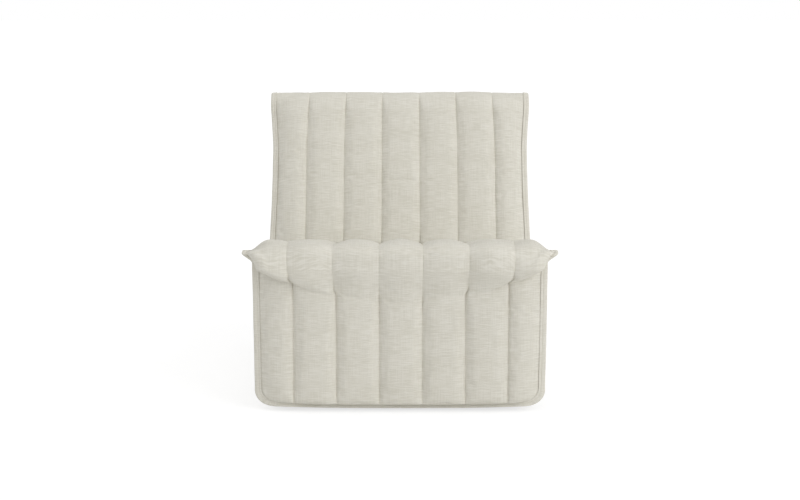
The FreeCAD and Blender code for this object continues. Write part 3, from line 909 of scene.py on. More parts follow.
@dataclass
class Stitch:
    """Sewing thread between two holes, a bent capsule modelled once and copied along a seam."""

    thread: Material
    length: float = 0.0034
    radius: float = 0.00042
    pitch: float = 0.005
    sink: float = 0.0002
    bend: float = 0.9

    def model(self) -> Copies:
        """The stitch along X."""
        bpy.ops.object.select_all(action="DESELECT")
        bpy.ops.mesh.primitive_uv_sphere_add(segments=6, ring_count=5, radius=1.0, rotation=(0, math.pi / 2, 0))
        bpy.ops.object.transform_apply(location=True, rotation=True, scale=True)
        copies = Copies.of_model()
        points = copies.points
        full = np.sign(points[:, 0]) * np.abs(points[:, 0]) ** 0.5
        points[:, 0] = full * self.length / 2
        points[:, 1] *= self.radius
        points[:, 2] = points[:, 2] * self.radius - (full**2) * self.radius * self.bend
        return copies

    def sew(self, name: str, lines: list[tuple[Array, Array]]) -> None:
        """Sews along lines and dresses the stitches.

        Args:
            name: Name of the piece.
            lines: For each line its points and the ways up from the cloth there.
        """
        copies = self.model()
        for points, ups in lines:
            run = lengths(points)
            for mark in np.arange(self.pitch / 2, run[-1] - self.pitch / 2, self.pitch):
                ends = [self.at(points, run, mark + s * self.length / 2) for s in (-1, 1)]
                way = ends[1] - ends[0]
                way /= np.linalg.norm(way)
                up = self.at(ups, run, mark)
                up = up - way * (up @ way)
                up /= np.linalg.norm(up)
                middle = self.at(points, run, mark) + up * (self.radius - self.sink)
                copies.add(np.stack([way, np.cross(up, way), up]), middle)
        finish_piece(copies.piece(name), self.thread, "linen_weave")

    @staticmethod
    def at(values: Array, run: Array, mark: float) -> Array:
        """Value at one length along a line."""
        return np.array([np.interp(mark, run, values[:, k]) for k in range(3)])


# Sub-assemblies


@dataclass
class QuiltedPad:
    """Channel-quilted pad: the cloth over its channels, closed by a flat lining."""

    name: str
    node: str
    lining: Lining
    channels: Channels
    loft: float = 0.042
    puff: float = 0.0095
    hem_puff: float = 0.0025
    hem_lip: float = 0.0025
    hem_lift: float = 0.0036
    hem_out: float = 0.01
    hem_power: float = 6.0
    hem_rows_round: int = 10
    roundness: float = 0.55
    pinch: float = 0.0009
    pinch_width: float = 0.003
    edge_pinch: float = 0.003
    edge_width: float = 0.0036
    fullness: float = 8.0
    beak_run: float = 0.056
    beak_power: float = 1.22
    pillow_run: float = 0.02
    crease_rounding: float = 0.034
    crease_drop: float = 0.02
    welt_room: float = 0.0052
    cover_room: float = 0.0043
    cover_run: float = 0.04
    wall_gap: float = 0.0004
    ear_wall: float = 0.0005
    wall_places: tuple = (0.004, 0.008, 0.014)
    sag: float = 0.0013
    sag_size: float = 0.09
    pucker_depth: float = 0.0014
    pucker_sizes: tuple = (0.011, 0.024)
    pucker_start: float = 0.0025
    pucker_columns: int = 7
    pace: float = 0.007
    fill: float = 0.85
    seed: float = 1.0
    stuffing: Stuffing = field(default_factory=Stuffing)
    grid: Grid | None = None

    def rows(self) -> list[Row]:
        """Rows of the pad from its first to its last end."""
        raise NotImplementedError

    def row(
        self, foot: Array, rise: Array, x: Array, along: Numbers, half_width: float, edge: float,
        loft: Numbers, puff: Numbers, ear: float = 0.0, cover: float = 1.0, out: tuple = (1.0, 0.0),
        pillow: Numbers = 0.0, bulge: float = 0.0, level: float = 0.0, roundness: float | None = None,
        pull: float = 1.0,
    ) -> Row:
        """One row with its crowned channels and sunken seams.

        Args:
            foot: Place on the lining, one for the row or one per column.
            rise: Way out from the lining, one for the row or one per column.
            x: Place of each column.
            along: Length along the cloth from the hem.
            half_width: Half of the row's width.
            edge: Height of the cloth at the side edges.
            loft: Height in the middle.
            puff: How far the seams sink below the crowns, one for the row or one per column.
            ear: Share of the pointed ear in this row.
            cover: Share of the side cloth's reach up to the welt.
            out: Way out at the right edge, across and down the path.
            pillow: Share of the full, rounded ends of the seat roll in this row.
            bulge: How far those ends stand out over the side edges.
            level: Share of the levelling of the channels along the top of the back.
            roundness: How round the channels are, or none for the pad's own value.
            pull: Share of the thread's pull at the seams.

        Returns:
            The row.
        """
        channels = self.channels
        outer = np.abs(x) - half_width
        plain = (np.abs(x) / half_width) ** self.fullness
        beak = ease(np.clip((outer + self.beak_run) / self.beak_run, 0, 1) ** self.beak_power)
        over = np.clip((outer + self.pillow_run) / self.pillow_run, 0, 1)
        round_end = math.pi - math.asin(self.pillow_run / (self.pillow_run + bulge))
        turn = over * round_end
        pillowed = (1 - np.cos(turn)) / (1 - math.cos(round_end))
        rounded_x = half_width - self.pillow_run + (self.pillow_run + bulge) * np.sin(turn)
        bulged = np.where(over > 0, rounded_x - np.abs(x), 0) * pillow * (1 - ear)
        drop = mixed(mixed(plain, pillowed, pillow), beak, ear)
        deep = channels.valley(self.roundness if roundness is None else roundness)
        near = np.abs(x[:, None] - x[channels.seam_columns]).min(axis=1)
        sewn = self.pinch * pull * bell(near, self.pinch_width) + self.edge_pinch * bell(outer, self.edge_width)
        height = mixed(edge, loft, 1 - drop) - puff * deep - sewn * np.minimum(puff / self.puff, 1.0)
        height = height - channels.levels() * level
        feet, rises = (np.broadcast_to(v, (len(x), 2)).copy() for v in (foot, rise))
        along = np.broadcast_to(along, len(x)).astype(float)
        return Row(x + np.sign(x) * bulged, feet, rises, height, along, half_width, edge, ear, cover, out)

    def hem_rows(self, foot: Array, way: Array, rise: Array, along: float, sign: float) -> list[Row]:
        """Rows of the rounded lower end, from the hem upwards.

        Args:
            foot: Place of the hem on the lining.
            way: Way up from it.
            rise: Way out from the lining.
            along: Length along the cloth at the hem.
            sign: 1 where that length grows upwards, -1 where it grows down to the hem.

        Returns:
            The rows.
        """
        lining = self.lining
        low_loft = lining.edge_loft + self.hem_out + self.hem_lip
        made = []
        for a in np.radians(np.linspace(0, 90, self.hem_rows_round)[:-1]):
            grown = math.sin(a)
            full = (1 - math.cos(a) ** self.hem_power) ** (1 / self.hem_power)
            half_width = lining.half_body - lining.corner_radius * (1 - grown)
            x = self.channels.across(half_width, 1.0)
            up = lining.corner_radius * (1 - math.cos(a)) + lining.bow(x) * (1 - grown)
            up = up + self.hem_lift * (1 - grown**2)
            edge, loft = lining.edge_loft + self.hem_out * (1 - grown), mixed(low_loft, self.loft, full)
            puff, out = mixed(self.hem_puff, self.puff, grown), (grown, math.cos(a))
            place = foot + way * up[:, None]
            made.append(self.row(place, rise, x, along + sign * up, half_width, edge, loft, puff, cover=0.0, out=out))
        return made

    def crease_loft(self, away: float) -> float:
        """Height in the middle of a row near the crease, where the cloth rolls down into it."""
        near = min(max(1 - away / self.crease_rounding, 0.0), 1.0)
        return self.loft - self.crease_drop * (1 - math.sqrt(1 - near**2 * 0.999))

    def build(self) -> None:
        """Lays the rows out, swells the cloth and refines it."""
        grid = Grid.of(self.rows())
        shape = grid.points.shape[:2]
        sag = wander(grid.points.reshape(-1, 3), self.sag_size, self.seed).reshape(shape) * self.sag
        sag = sag * (1 - self.channels.valley(1.0))
        grid.points[..., 1:] += grid.edge_rise[:, None] * sag[..., None]
        held = np.zeros(shape, bool)
        held[:, self.channels.seam_columns] = True
        held[:, [0, 1, -2, -1]] = True
        held[[0, 1, -2, -1]] = True
        grid.points = self.stuffing.swell(grid.points, held)
        self.grid = grid.finer(self.channels.cells)
        self.pucker()

    def pucker(self) -> None:
        """Draws small puckers across the seams, where the thread pulls the cloth in."""
        points, size = self.grid.points, self.pucker_sizes[0]
        for number, seam in enumerate(self.channels.seam_columns * 2):
            line = points[:, seam]
            pull = wander(line, size, self.seed + number * 2.3) * 0.6
            pull = pull + wander(line, self.pucker_sizes[1], 9.1 + number)
            for column in range(seam - self.pucker_columns, seam + self.pucker_columns + 1):
                away = np.abs(points[:, column, 0] - line[:, 0])
                lift = pull * (bell(away, size) * (1 - bell(away, self.pucker_start))) * self.pucker_depth
                points[:, column, 1:] += self.grid.edge_rise * lift[:, None]

    def wall(self, sign: int) -> Array:
        """Points of a side wall under each row's edge: below the welt, at the side cloth and on the lining."""
        foot, rise, half_body = self.grid.edge_foot, self.grid.edge_rise, self.lining.half_body
        width, edge, ear, cover = self.grid.facts[:, :4].T
        low = edge - self.welt_room
        inset_x = mixed(width - cover * (1 - ear) * self.cover_room, half_body + self.ear_wall, ear)
        inset_h = (low - self.wall_gap) * (1 - ear) + self.wall_gap * ear
        foot_x = np.minimum(inset_x, half_body - self.cover_room)
        points = ((width, low), (inset_x, inset_h), (foot_x, low * 0))
        return np.stack([spatial(sign * x, foot + rise * h[:, None]) for x, h in points], axis=1)

    def make(self, linen: Material) -> None:
        """Closes the cloth with its walls and lining and dresses the pad."""
        rings, places = [self.grid.points], [self.grid.place]
        for sign, column in ((1, -1), (-1, 0)):
            place = np.repeat(self.grid.place[:, column, None], 3, axis=1)
            place[..., 0] += sign * np.array(self.wall_places)
            rings.append(self.wall(sign)[:, ::sign])
            places.append(place[:, ::sign])
        rings, places = np.concatenate(rings, axis=1), np.concatenate(places, axis=1)
        pad = tube_piece(self.name, rings, places, self.seed)
        finish_piece(pad, linen, "linen_weave", self.node)

    def seam_lines(self) -> list[tuple[Array, Array]]:
        """Lines of the seams with the ways up from the cloth there."""
        ups = spatial(0.0, self.grid.edge_rise)
        return [(self.grid.points[:, column], ups) for column in self.channels.seam_columns * 2]


@dataclass
class SeatPad(QuiltedPad):
    """Pad of the front, the seat roll with its ears, and the seat."""

    edge_pinch: float = 0.0018
    swell: float = 0.024
    panel_roundness: float = 0.5
    panel_puff: float = 0.0105
    roll_roundness: float = 0.95
    roll_puff: float = 0.0075
    crest_puff: float = 0.012
    crest_turns: tuple = (35.0, 50.0)
    crest_run: float = 0.12
    outer_crest: float = 0.35
    outer_run: tuple = (0.17, 0.1)
    roll_pull: float = 0.3
    roll_pace: float = 0.8
    rolled_run: float = 0.06
    roll_along: float = 0.2504
    panel_spread: float = 0.0022
    lip_low: float = 0.286
    lip_climb: float = 0.088
    lip_sag: float = 0.007
    lip_reach: float = 0.1
    side_reach: float = 0.018
    steep_run: tuple = (0.4, 0.45)
    end_bulge: float = 0.011
    ear_turns: tuple = (18.0, 45.0)
    beak_turns: tuple = (37.0, 36.0)
    cover_turn: float = 15.0
    ear_droop: float = 0.0014
    droop_turns: tuple = (45.0, 50.0)
    ear_fan: float = 0.015
    ear_run: float = 0.13
    seat_cover: tuple = (0.0975, 0.05)
    fan_run: float = 0.018
    roll_power: float = 4.4
    end_power: float = 2.0
    oval_run: tuple = (0.55, 0.35)
    roll_fan: float = 1.035
    mitre_run: float = 0.055
    mitre_rows: int = 12

    def lip(self, reach: Array) -> Array:
        """Length along the lining at which the roll begins, by the columns' share of the half width."""
        sag = self.lip_sag * ramp(reach, self.steep_run) * (1 - self.channels.valley(1.0))
        return self.lip_low + self.lip_climb * reach**2 - sag

    def crest_depth(self, x: Array) -> Array:
        """How far the seams sink along the crest of the roll, less at its outer seams."""
        return self.crest_puff * (1 - (1 - self.outer_crest) * ramp(np.abs(x), self.outer_run))

    def rolled(self, turn: Array, reach: Array, front: float, top: float) -> Array:
        """Radius of the roll at an angle up from its front, rounded square in the middle and oval at its ends."""
        turn = np.minimum(turn, math.pi / 2)
        power = mixed(self.roll_power, self.end_power, ramp(reach, self.oval_run))
        return ((np.cos(turn) / front) ** power + (np.sin(turn) / top) ** power) ** (-1 / power)

    def panel_rows(self, low: float) -> list[Row]:
        """Rows of the front panel up to the roll."""
        lining = self.lining
        made = []
        for share in even(0, 1, self.pace / (self.lip_low - low)):
            half_width = lining.half_body + self.panel_spread * share
            x = self.channels.across(half_width, 1.0)
            run = mixed(low, self.lip(np.abs(x) / half_width), share)
            foot, rise = lining.front(run)
            more = {"cover": ease((run[-1] - low) / self.cover_run), "roundness": self.panel_roundness}
            lofts = (lining.edge_loft, self.loft, self.panel_puff)
            made.append(self.row(foot, rise, x, run, half_width, *lofts, **more))
        return made

    def roll_rows(self) -> list[Row]:
        """Rows from the underside of the roll over its nose to the seat."""
        lining = self.lining
        nose_run, radius = lining.nose_centre[1], lining.nose_radius
        end_run = nose_run + radius * math.radians(lining.seat_turn)
        short = radius + self.loft
        crown = short + self.swell
        straight = nose_run - self.lip_low
        length = straight + crown * math.radians(lining.seat_turn)
        edge_lip = self.lip_low + self.lip_climb - self.lip_sag
        made = []
        for c in even(0, length, self.pace * self.roll_pace):
            past = max(c - straight, 0)
            middle_run = self.lip_low + min(c, straight) + past * radius / crown
            grown = (middle_run - self.lip_low) / (end_run - self.lip_low)
            side_run = mixed(edge_lip, end_run, grown)
            side_turn = math.degrees(max(side_run - nose_run, 0) / radius)
            ear = ramp(side_turn, self.ear_turns)
            half_width = lining.half_body + mixed(self.panel_spread, lining.ear_reach, ear)
            fan = 1 + (self.roll_fan - 1) * ease(c / self.fan_run) + self.ear_fan * ear
            x = self.channels.across(half_width, fan)
            reach = np.abs(x) / half_width
            start = self.lip(reach)
            run = mixed(start, end_run, grown)
            foot, rise = lining.front(run)
            turn = np.clip(run - nose_run, 0, None) / radius
            steep = ramp(reach, self.steep_run)
            risen = np.clip((run - start) / mixed(self.lip_reach, self.side_reach, steep), 0, 1)
            swelled = (1 - steep) * ease(risen) + steep * np.sqrt(1 - (1 - risen) ** 2)
            loft = self.loft + (self.rolled(turn, reach, crown, short) - short) * swelled
            rolled = ease(c / self.rolled_run)
            puff = mixed(self.panel_puff, self.roll_puff, rolled)
            crest = ramp(math.degrees(past / crown), self.crest_turns)
            puff = puff + (self.crest_depth(x) - self.roll_puff) * crest
            edge = lining.edge_loft - self.ear_droop * ramp(side_turn, self.droop_turns)
            along = mixed(start, self.lip_low + length, c / length)
            row = self.row(
                foot, rise, x, along, half_width, edge, loft, puff, pillow=swelled,
                ear=ear * ramp(side_turn, self.beak_turns), bulge=self.end_bulge * ease(risen[-1]),
                roundness=mixed(self.panel_roundness, self.roll_roundness, rolled),
                pull=1 - (1 - self.roll_pull) * rolled,
            )
            row.ear, row.cover = ear, 1 - ease(side_turn / self.cover_turn)
            made.append(row)
        return made

    def seat_rows(self) -> list[Row]:
        """Rows of the seat from the roll to the crease."""
        lining = self.lining
        seat, mitre, full_run = lining.seat, lining.mitre(), lining.seat_run
        ruled = full_run - self.mitre_run
        made = []
        for place in np.concatenate([even(0, ruled, self.pace), np.linspace(ruled, full_run, self.mitre_rows)]):
            ear = ease(1 - place / self.ear_run)
            half_width = lining.half_body + lining.ear_reach * ear
            blend = max((place - ruled) / (full_run - ruled), 0.0)
            rolled = ease(1 - place / self.crest_run)
            x = self.channels.across(half_width, 1 + (self.roll_fan - 1 + self.ear_fan) * ear)
            row = self.row(
                seat.edge + seat.way * place, seat.normal * (1 - blend) + mitre * blend, x,
                self.lip_low + self.roll_along + place, half_width, lining.edge_loft - self.ear_droop * ear,
                self.crease_loft(full_run - place), mixed(self.puff, self.crest_depth(x), rolled),
                ear=ear, cover=ramp(place, self.seat_cover),
                roundness=mixed(self.roundness, self.roll_roundness, rolled),
                pull=1 - (1 - self.roll_pull) * rolled,
            )
            made.append(row)
        return made

    def rows(self) -> list[Row]:
        """Rows from the front hem to the crease."""
        lining = self.lining
        foot = np.array([lining.front_y, lining.hem_z])
        hem = self.hem_rows(foot, np.array([0.0, 1.0]), np.array([-1.0, 0.0]), lining.hem_z, 1.0)
        return hem + self.panel_rows(lining.hem_z + lining.corner_radius) + self.roll_rows() + self.seat_rows()


@dataclass
class BackPad(QuiltedPad):
    """Pad of the back, its rounded top and the rear."""

    top_puff: float = 0.0015
    top_edge: float = 0.0384
    top_drop: float = 0.0025
    top_flare: float = 0.0092
    top_fan: float = 0.982
    top_flatter: float = 0.25
    top_arc_pace: float = 4.0
    mitre_run: float = 0.04
    mitre_rows: int = 9
    close_turns: tuple = (40.0, 45.0)
    level_turn: float = 60.0
    level_over: float = 20.0
    full_run: float = 0.1
    flare_fall: tuple = (0.05, 0.17)
    low_spread: float = 0.005
    spread_run: float = 0.25
    spread_rise: float = 0.05
    rear_pace: float = 0.009

    def back_row(
        self, foot: Array, rise: Array, along: float, close: float, down: float, loft: float, level: float = 0.0
    ) -> Row:
        """Row of the back.

        Args:
            foot: Place on the lining.
            rise: Way out from the lining.
            along: Length along the cloth from the crease.
            close: How close the row is to the top, where the edges are full.
            down: Length down from the top, where the sides spread most.
            loft: Height in the middle.
            level: How level the channels are, full along the very top.

        Returns:
            The row.
        """
        lining = self.lining
        flare = 1 - ramp(down, self.flare_fall)
        spread = self.low_spread * (ease(1 - along / self.spread_run) * ease(along / self.spread_rise))
        half_width = lining.half_body + self.top_flare * flare + spread
        puff = mixed(self.puff * (1 - self.top_flatter * close), self.top_puff, level)
        x = self.channels.across(half_width, 1 + (self.top_fan - 1) * flare)
        edge = mixed(lining.edge_loft, self.top_edge, close)
        return self.row(foot, rise, x, along, half_width, edge, loft - self.top_drop * level, puff, level=level)

    def rows(self) -> list[Row]:
        """Rows from the crease over the top to the rear hem."""
        lining = self.lining
        back, rear, crease, mitre, back_run = lining.back, lining.rear, lining.crease, lining.mitre(), lining.back_run
        crown = lining.top_radius + self.loft
        made = []
        near = np.linspace(0, self.mitre_run, self.mitre_rows)[:-1]
        for away in np.concatenate([near, even(self.mitre_run, back_run, self.pace)]):
            blend = max(1 - away / self.mitre_run, 0.0)
            rise = back.normal * (1 - blend) + mitre * blend
            down = back_run - away + crown * math.radians(90 - lining.back_lean)
            made.append(self.back_row(crease + back.way * away, rise, away, 0.0, down, self.crease_loft(away)))
        for turn in even(lining.back_lean, lining.rear_turn, self.top_arc_pace):
            top = Flat.at(lining.top_centre, lining.top_radius, turn)
            along = back_run + crown * math.radians(turn - lining.back_lean)
            level = ease((turn - lining.back_lean) / self.level_turn)
            level = level * ease((lining.rear_turn + self.level_over - turn) / self.level_turn)
            close, down = ramp(turn, self.close_turns), crown * math.radians(90 - turn)
            made.append(self.back_row(top.edge, top.normal, along, close, down, self.loft, level))
        over = back_run + crown * math.radians(lining.rear_turn - lining.back_lean)
        flat = lining.rear_run - lining.corner_radius
        for down in even(0, flat, self.rear_pace):
            close = ease(1 - down / self.full_run)
            row = self.back_row(rear.edge + rear.way * down, rear.normal, over + down, close, down, self.loft)
            row.cover = ease((flat - down) / self.cover_run)
            made.append(row)
        foot = rear.edge + rear.way * lining.rear_run
        return made + self.hem_rows(foot, -rear.way, rear.normal, over + lining.rear_run, -1.0)[::-1]


@dataclass
class Welt:
    """Flat sewn welt of several layers, with a line of topstitching."""

    lining: Lining
    thickness: float = 0.0044
    stitch_place: float = 0.0052
    groove: float = 0.0009
    root: float = 0.0006
    sink: float = 0.001
    top_sink: float = 0.001
    hem_sink: float = 0.0024
    curl: float = 0.003
    curl_start: float = 0.001
    rounding: float = 0.0005

    def section(self, reach: float) -> Array:
        """Closed section: share of the way out and height over the welt's middle."""
        half, sewn = self.thickness / 2, self.stitch_place
        upper = [
            (-self.root, half * 0.8),
            (sewn - 0.0022, half),
            (sewn - 0.0008, half - self.groove * 0.5),
            (sewn, half - self.groove),
            (sewn + 0.0008, half - self.groove * 0.5),
            (sewn + 0.0024, half * 1.05),
            (reach - 0.0035, half),
            (reach - 0.0015, half * 0.82),
            (reach - 0.0004, half * 0.45),
            (reach, 0.0),
        ]
        return np.array(upper + [(t, -h) for t, h in reversed(upper[:-1])])

    def full(self, edge: Numbers) -> Numbers:
        """How much higher the pad's edge stands than along the sides."""
        return (edge - self.lining.edge_loft) / self.lining.edge_loft

    def root_height(self, edge: Numbers, down: Numbers) -> Numbers:
        """Height of the welt's middle at its root, by the pad's edge and the share that points down."""
        return edge - (self.sink + self.top_sink * self.full(edge) + self.hem_sink * down**2)

    def curled(self, out: Numbers, reach: Numbers, down: Numbers) -> Numbers:
        """Heights to which the welt's outer part bends out where the welt points down."""
        share = np.clip((out - self.curl_start) / (reach - self.curl_start), 0, 1)
        return self.curl * down**2 * share**2

    def stitch_height(self, reach: Numbers, down: Numbers) -> Numbers:
        """Height of the topstitching over the welt's middle."""
        return self.thickness / 2 - self.groove + self.curled(self.stitch_place, reach, down)


@dataclass
class SideWelt(Welt):
    """Welt along one side, from the front hem over both pads to the rear hem."""

    side: Side = Side.RIGHT
    corner_reach: float = 0.0044
    lean: float = 0.32
    lean_loss: float = 0.5
    back_trim: float = 0.0022
    trim_run: float = 0.05
    wave_size: float = 0.06
    wave_reach: float = 0.0005
    wave_lean: float = 0.0007
    seed: float = 4.0

    def edge_line(self, pads: list[QuiltedPad]) -> tuple[Array, ...]:
        """Line of the welt's root along the pads' edges.

        Args:
            pads: The seat pad and the back pad.

        Returns:
            Points, ways up, ways out, reaches, lengths along the cloth and shares that point down.
        """
        seat, back = (p.grid for p in pads)
        count = len(seat.edge_foot)
        foot = np.concatenate([seat.edge_foot, back.edge_foot[1:]])
        rise = np.concatenate([seat.edge_rise, back.edge_rise[1:]])
        width, edge, ear, _, wide, down = np.concatenate([seat.facts, back.facts[1:]]).T
        points = spatial(width, foot + rise * self.root_height(edge, down)[:, None])
        unit = rise / np.linalg.norm(rise, axis=1, keepdims=True)
        path = np.where(np.arange(len(foot)) < count, -1.0, 1.0)[:, None]
        outs = spatial(wide, np.column_stack([unit[:, 1], -unit[:, 0]]) * path * down[:, None])
        ups = spatial(0.0, unit)
        lean = self.lean * np.clip(1 - ear - self.lean_loss * self.full(edge), 0, 1) * wide
        run = lengths(points)
        reach = mixed(self.lining.hem_reach, self.lining.welt_reach, wide**2)
        reach = reach + 2 * self.corner_reach * wide**2 * down
        reach = reach - self.back_trim * ease((run - run[count]) / self.trim_run) * wide
        return points, ups, outs - ups * lean[:, None], reach, run, down

    def make(self, pads: list[QuiltedPad], linen: Material) -> None:
        """Sweeps the section along the pads' edges."""
        points, ups, outs, reach, run, down = self.edge_line(pads)
        wave = wander(np.outer(run, [1, 0, 0]), self.wave_size, self.seed + self.side.value)
        rings, places = [], []
        for k, point in enumerate(points):
            section = self.section(reach[k] - self.rounding + self.wave_reach * wave[k])
            section[:, 1] += self.curled(section[:, 0], section[:, 0].max(), down[k])
            lean = self.wave_lean * wave[k] * np.clip(section[:, :1] / reach[k], 0, 1)
            rings.append(point + section[:, :1] * outs[k] + (section[:, 1:] + lean) * ups[k])
            places.append(section[:, :1] * [1, 0, 0] + [point[0], run[k], 0])
        cloud = np.stack(rings)
        cloud[..., 0] *= self.side.value
        welt = tube_piece(f"{self.side.word}_welt_band", cloud, np.stack(places), 11 + self.side.value)
        finish_piece(welt, linen, "linen_weave", f"{self.side.word}_side_welt")

    def stitch_lines(self, pads: list[QuiltedPad]) -> list[tuple[Array, Array]]:
        """Lines of the topstitching on the outer face of the welt."""
        points, ups, outs, reach, _, down = self.edge_line(pads)
        height = self.stitch_height(reach - self.rounding, down)
        line = points + outs * self.stitch_place + ups * height[:, None]
        return [(line * [self.side.value, 1, 1], ups)]


@dataclass
class HemWelt(Welt):
    """Straight welt along a lower edge, its two halves joined in the middle."""

    node: str = "front_hem_welt"
    steps: int = 90
    join_gap: float = 0.0008
    join_dip: float = 0.0006
    join_width: float = 0.0012
    join_steps: tuple = (-0.003, -0.0012, 0.0, 0.0012, 0.003)

    def make(self, pads: list[QuiltedPad], linen: Material, stitch: Stitch) -> None:
        """Sweeps the section from corner to corner, with a notch at the join, and sews it."""
        front = self.node.startswith("front")
        grid, row = (pads[0].grid, 0) if front else (pads[1].grid, -1)
        foot, rise = grid.edge_foot[row], grid.edge_rise[row]
        half = self.lining.half_body - self.lining.corner_radius
        way = np.array([rise[1], -rise[0]]) * (-1 if front else 1)
        base = foot + rise * self.root_height(grid.facts[row, 1], 1.0)
        reach = self.lining.hem_reach - self.rounding
        section = self.section(reach)
        section[:, 1] += self.curled(section[:, 0], reach, 1.0)
        out, height = section[:, :1], section[:, 1:]
        across = np.unique(np.concatenate([np.linspace(-half, half, self.steps), self.join_steps]))
        drawn = self.lining.bow(across) - self.lining.bow(half)
        rings, places = [], []
        for x, bow, join in zip(across, drawn, bell(across, self.join_width)):
            outer = out - self.join_gap * join * (out > self.stitch_place)
            side = base + [0.0, bow] + outer * way + (height - self.join_dip * join) * rise
            rings.append(spatial(x, side))
            places.append(spatial(x, out * [1, 0]))
        welt = tube_piece(self.node.replace("welt", "band"), np.stack(rings), np.stack(places), 17.0)
        finish_piece(welt, linen, "linen_weave", self.node)
        sewn = base + way * self.stitch_place + rise * self.stitch_height(reach, 1.0)
        line = np.column_stack([across, np.full(len(across), sewn[0]), sewn[1] + drawn])
        stitch.sew(self.node.replace("welt", "stitches"), [(line, np.broadcast_to([0.0, *rise], line.shape))])


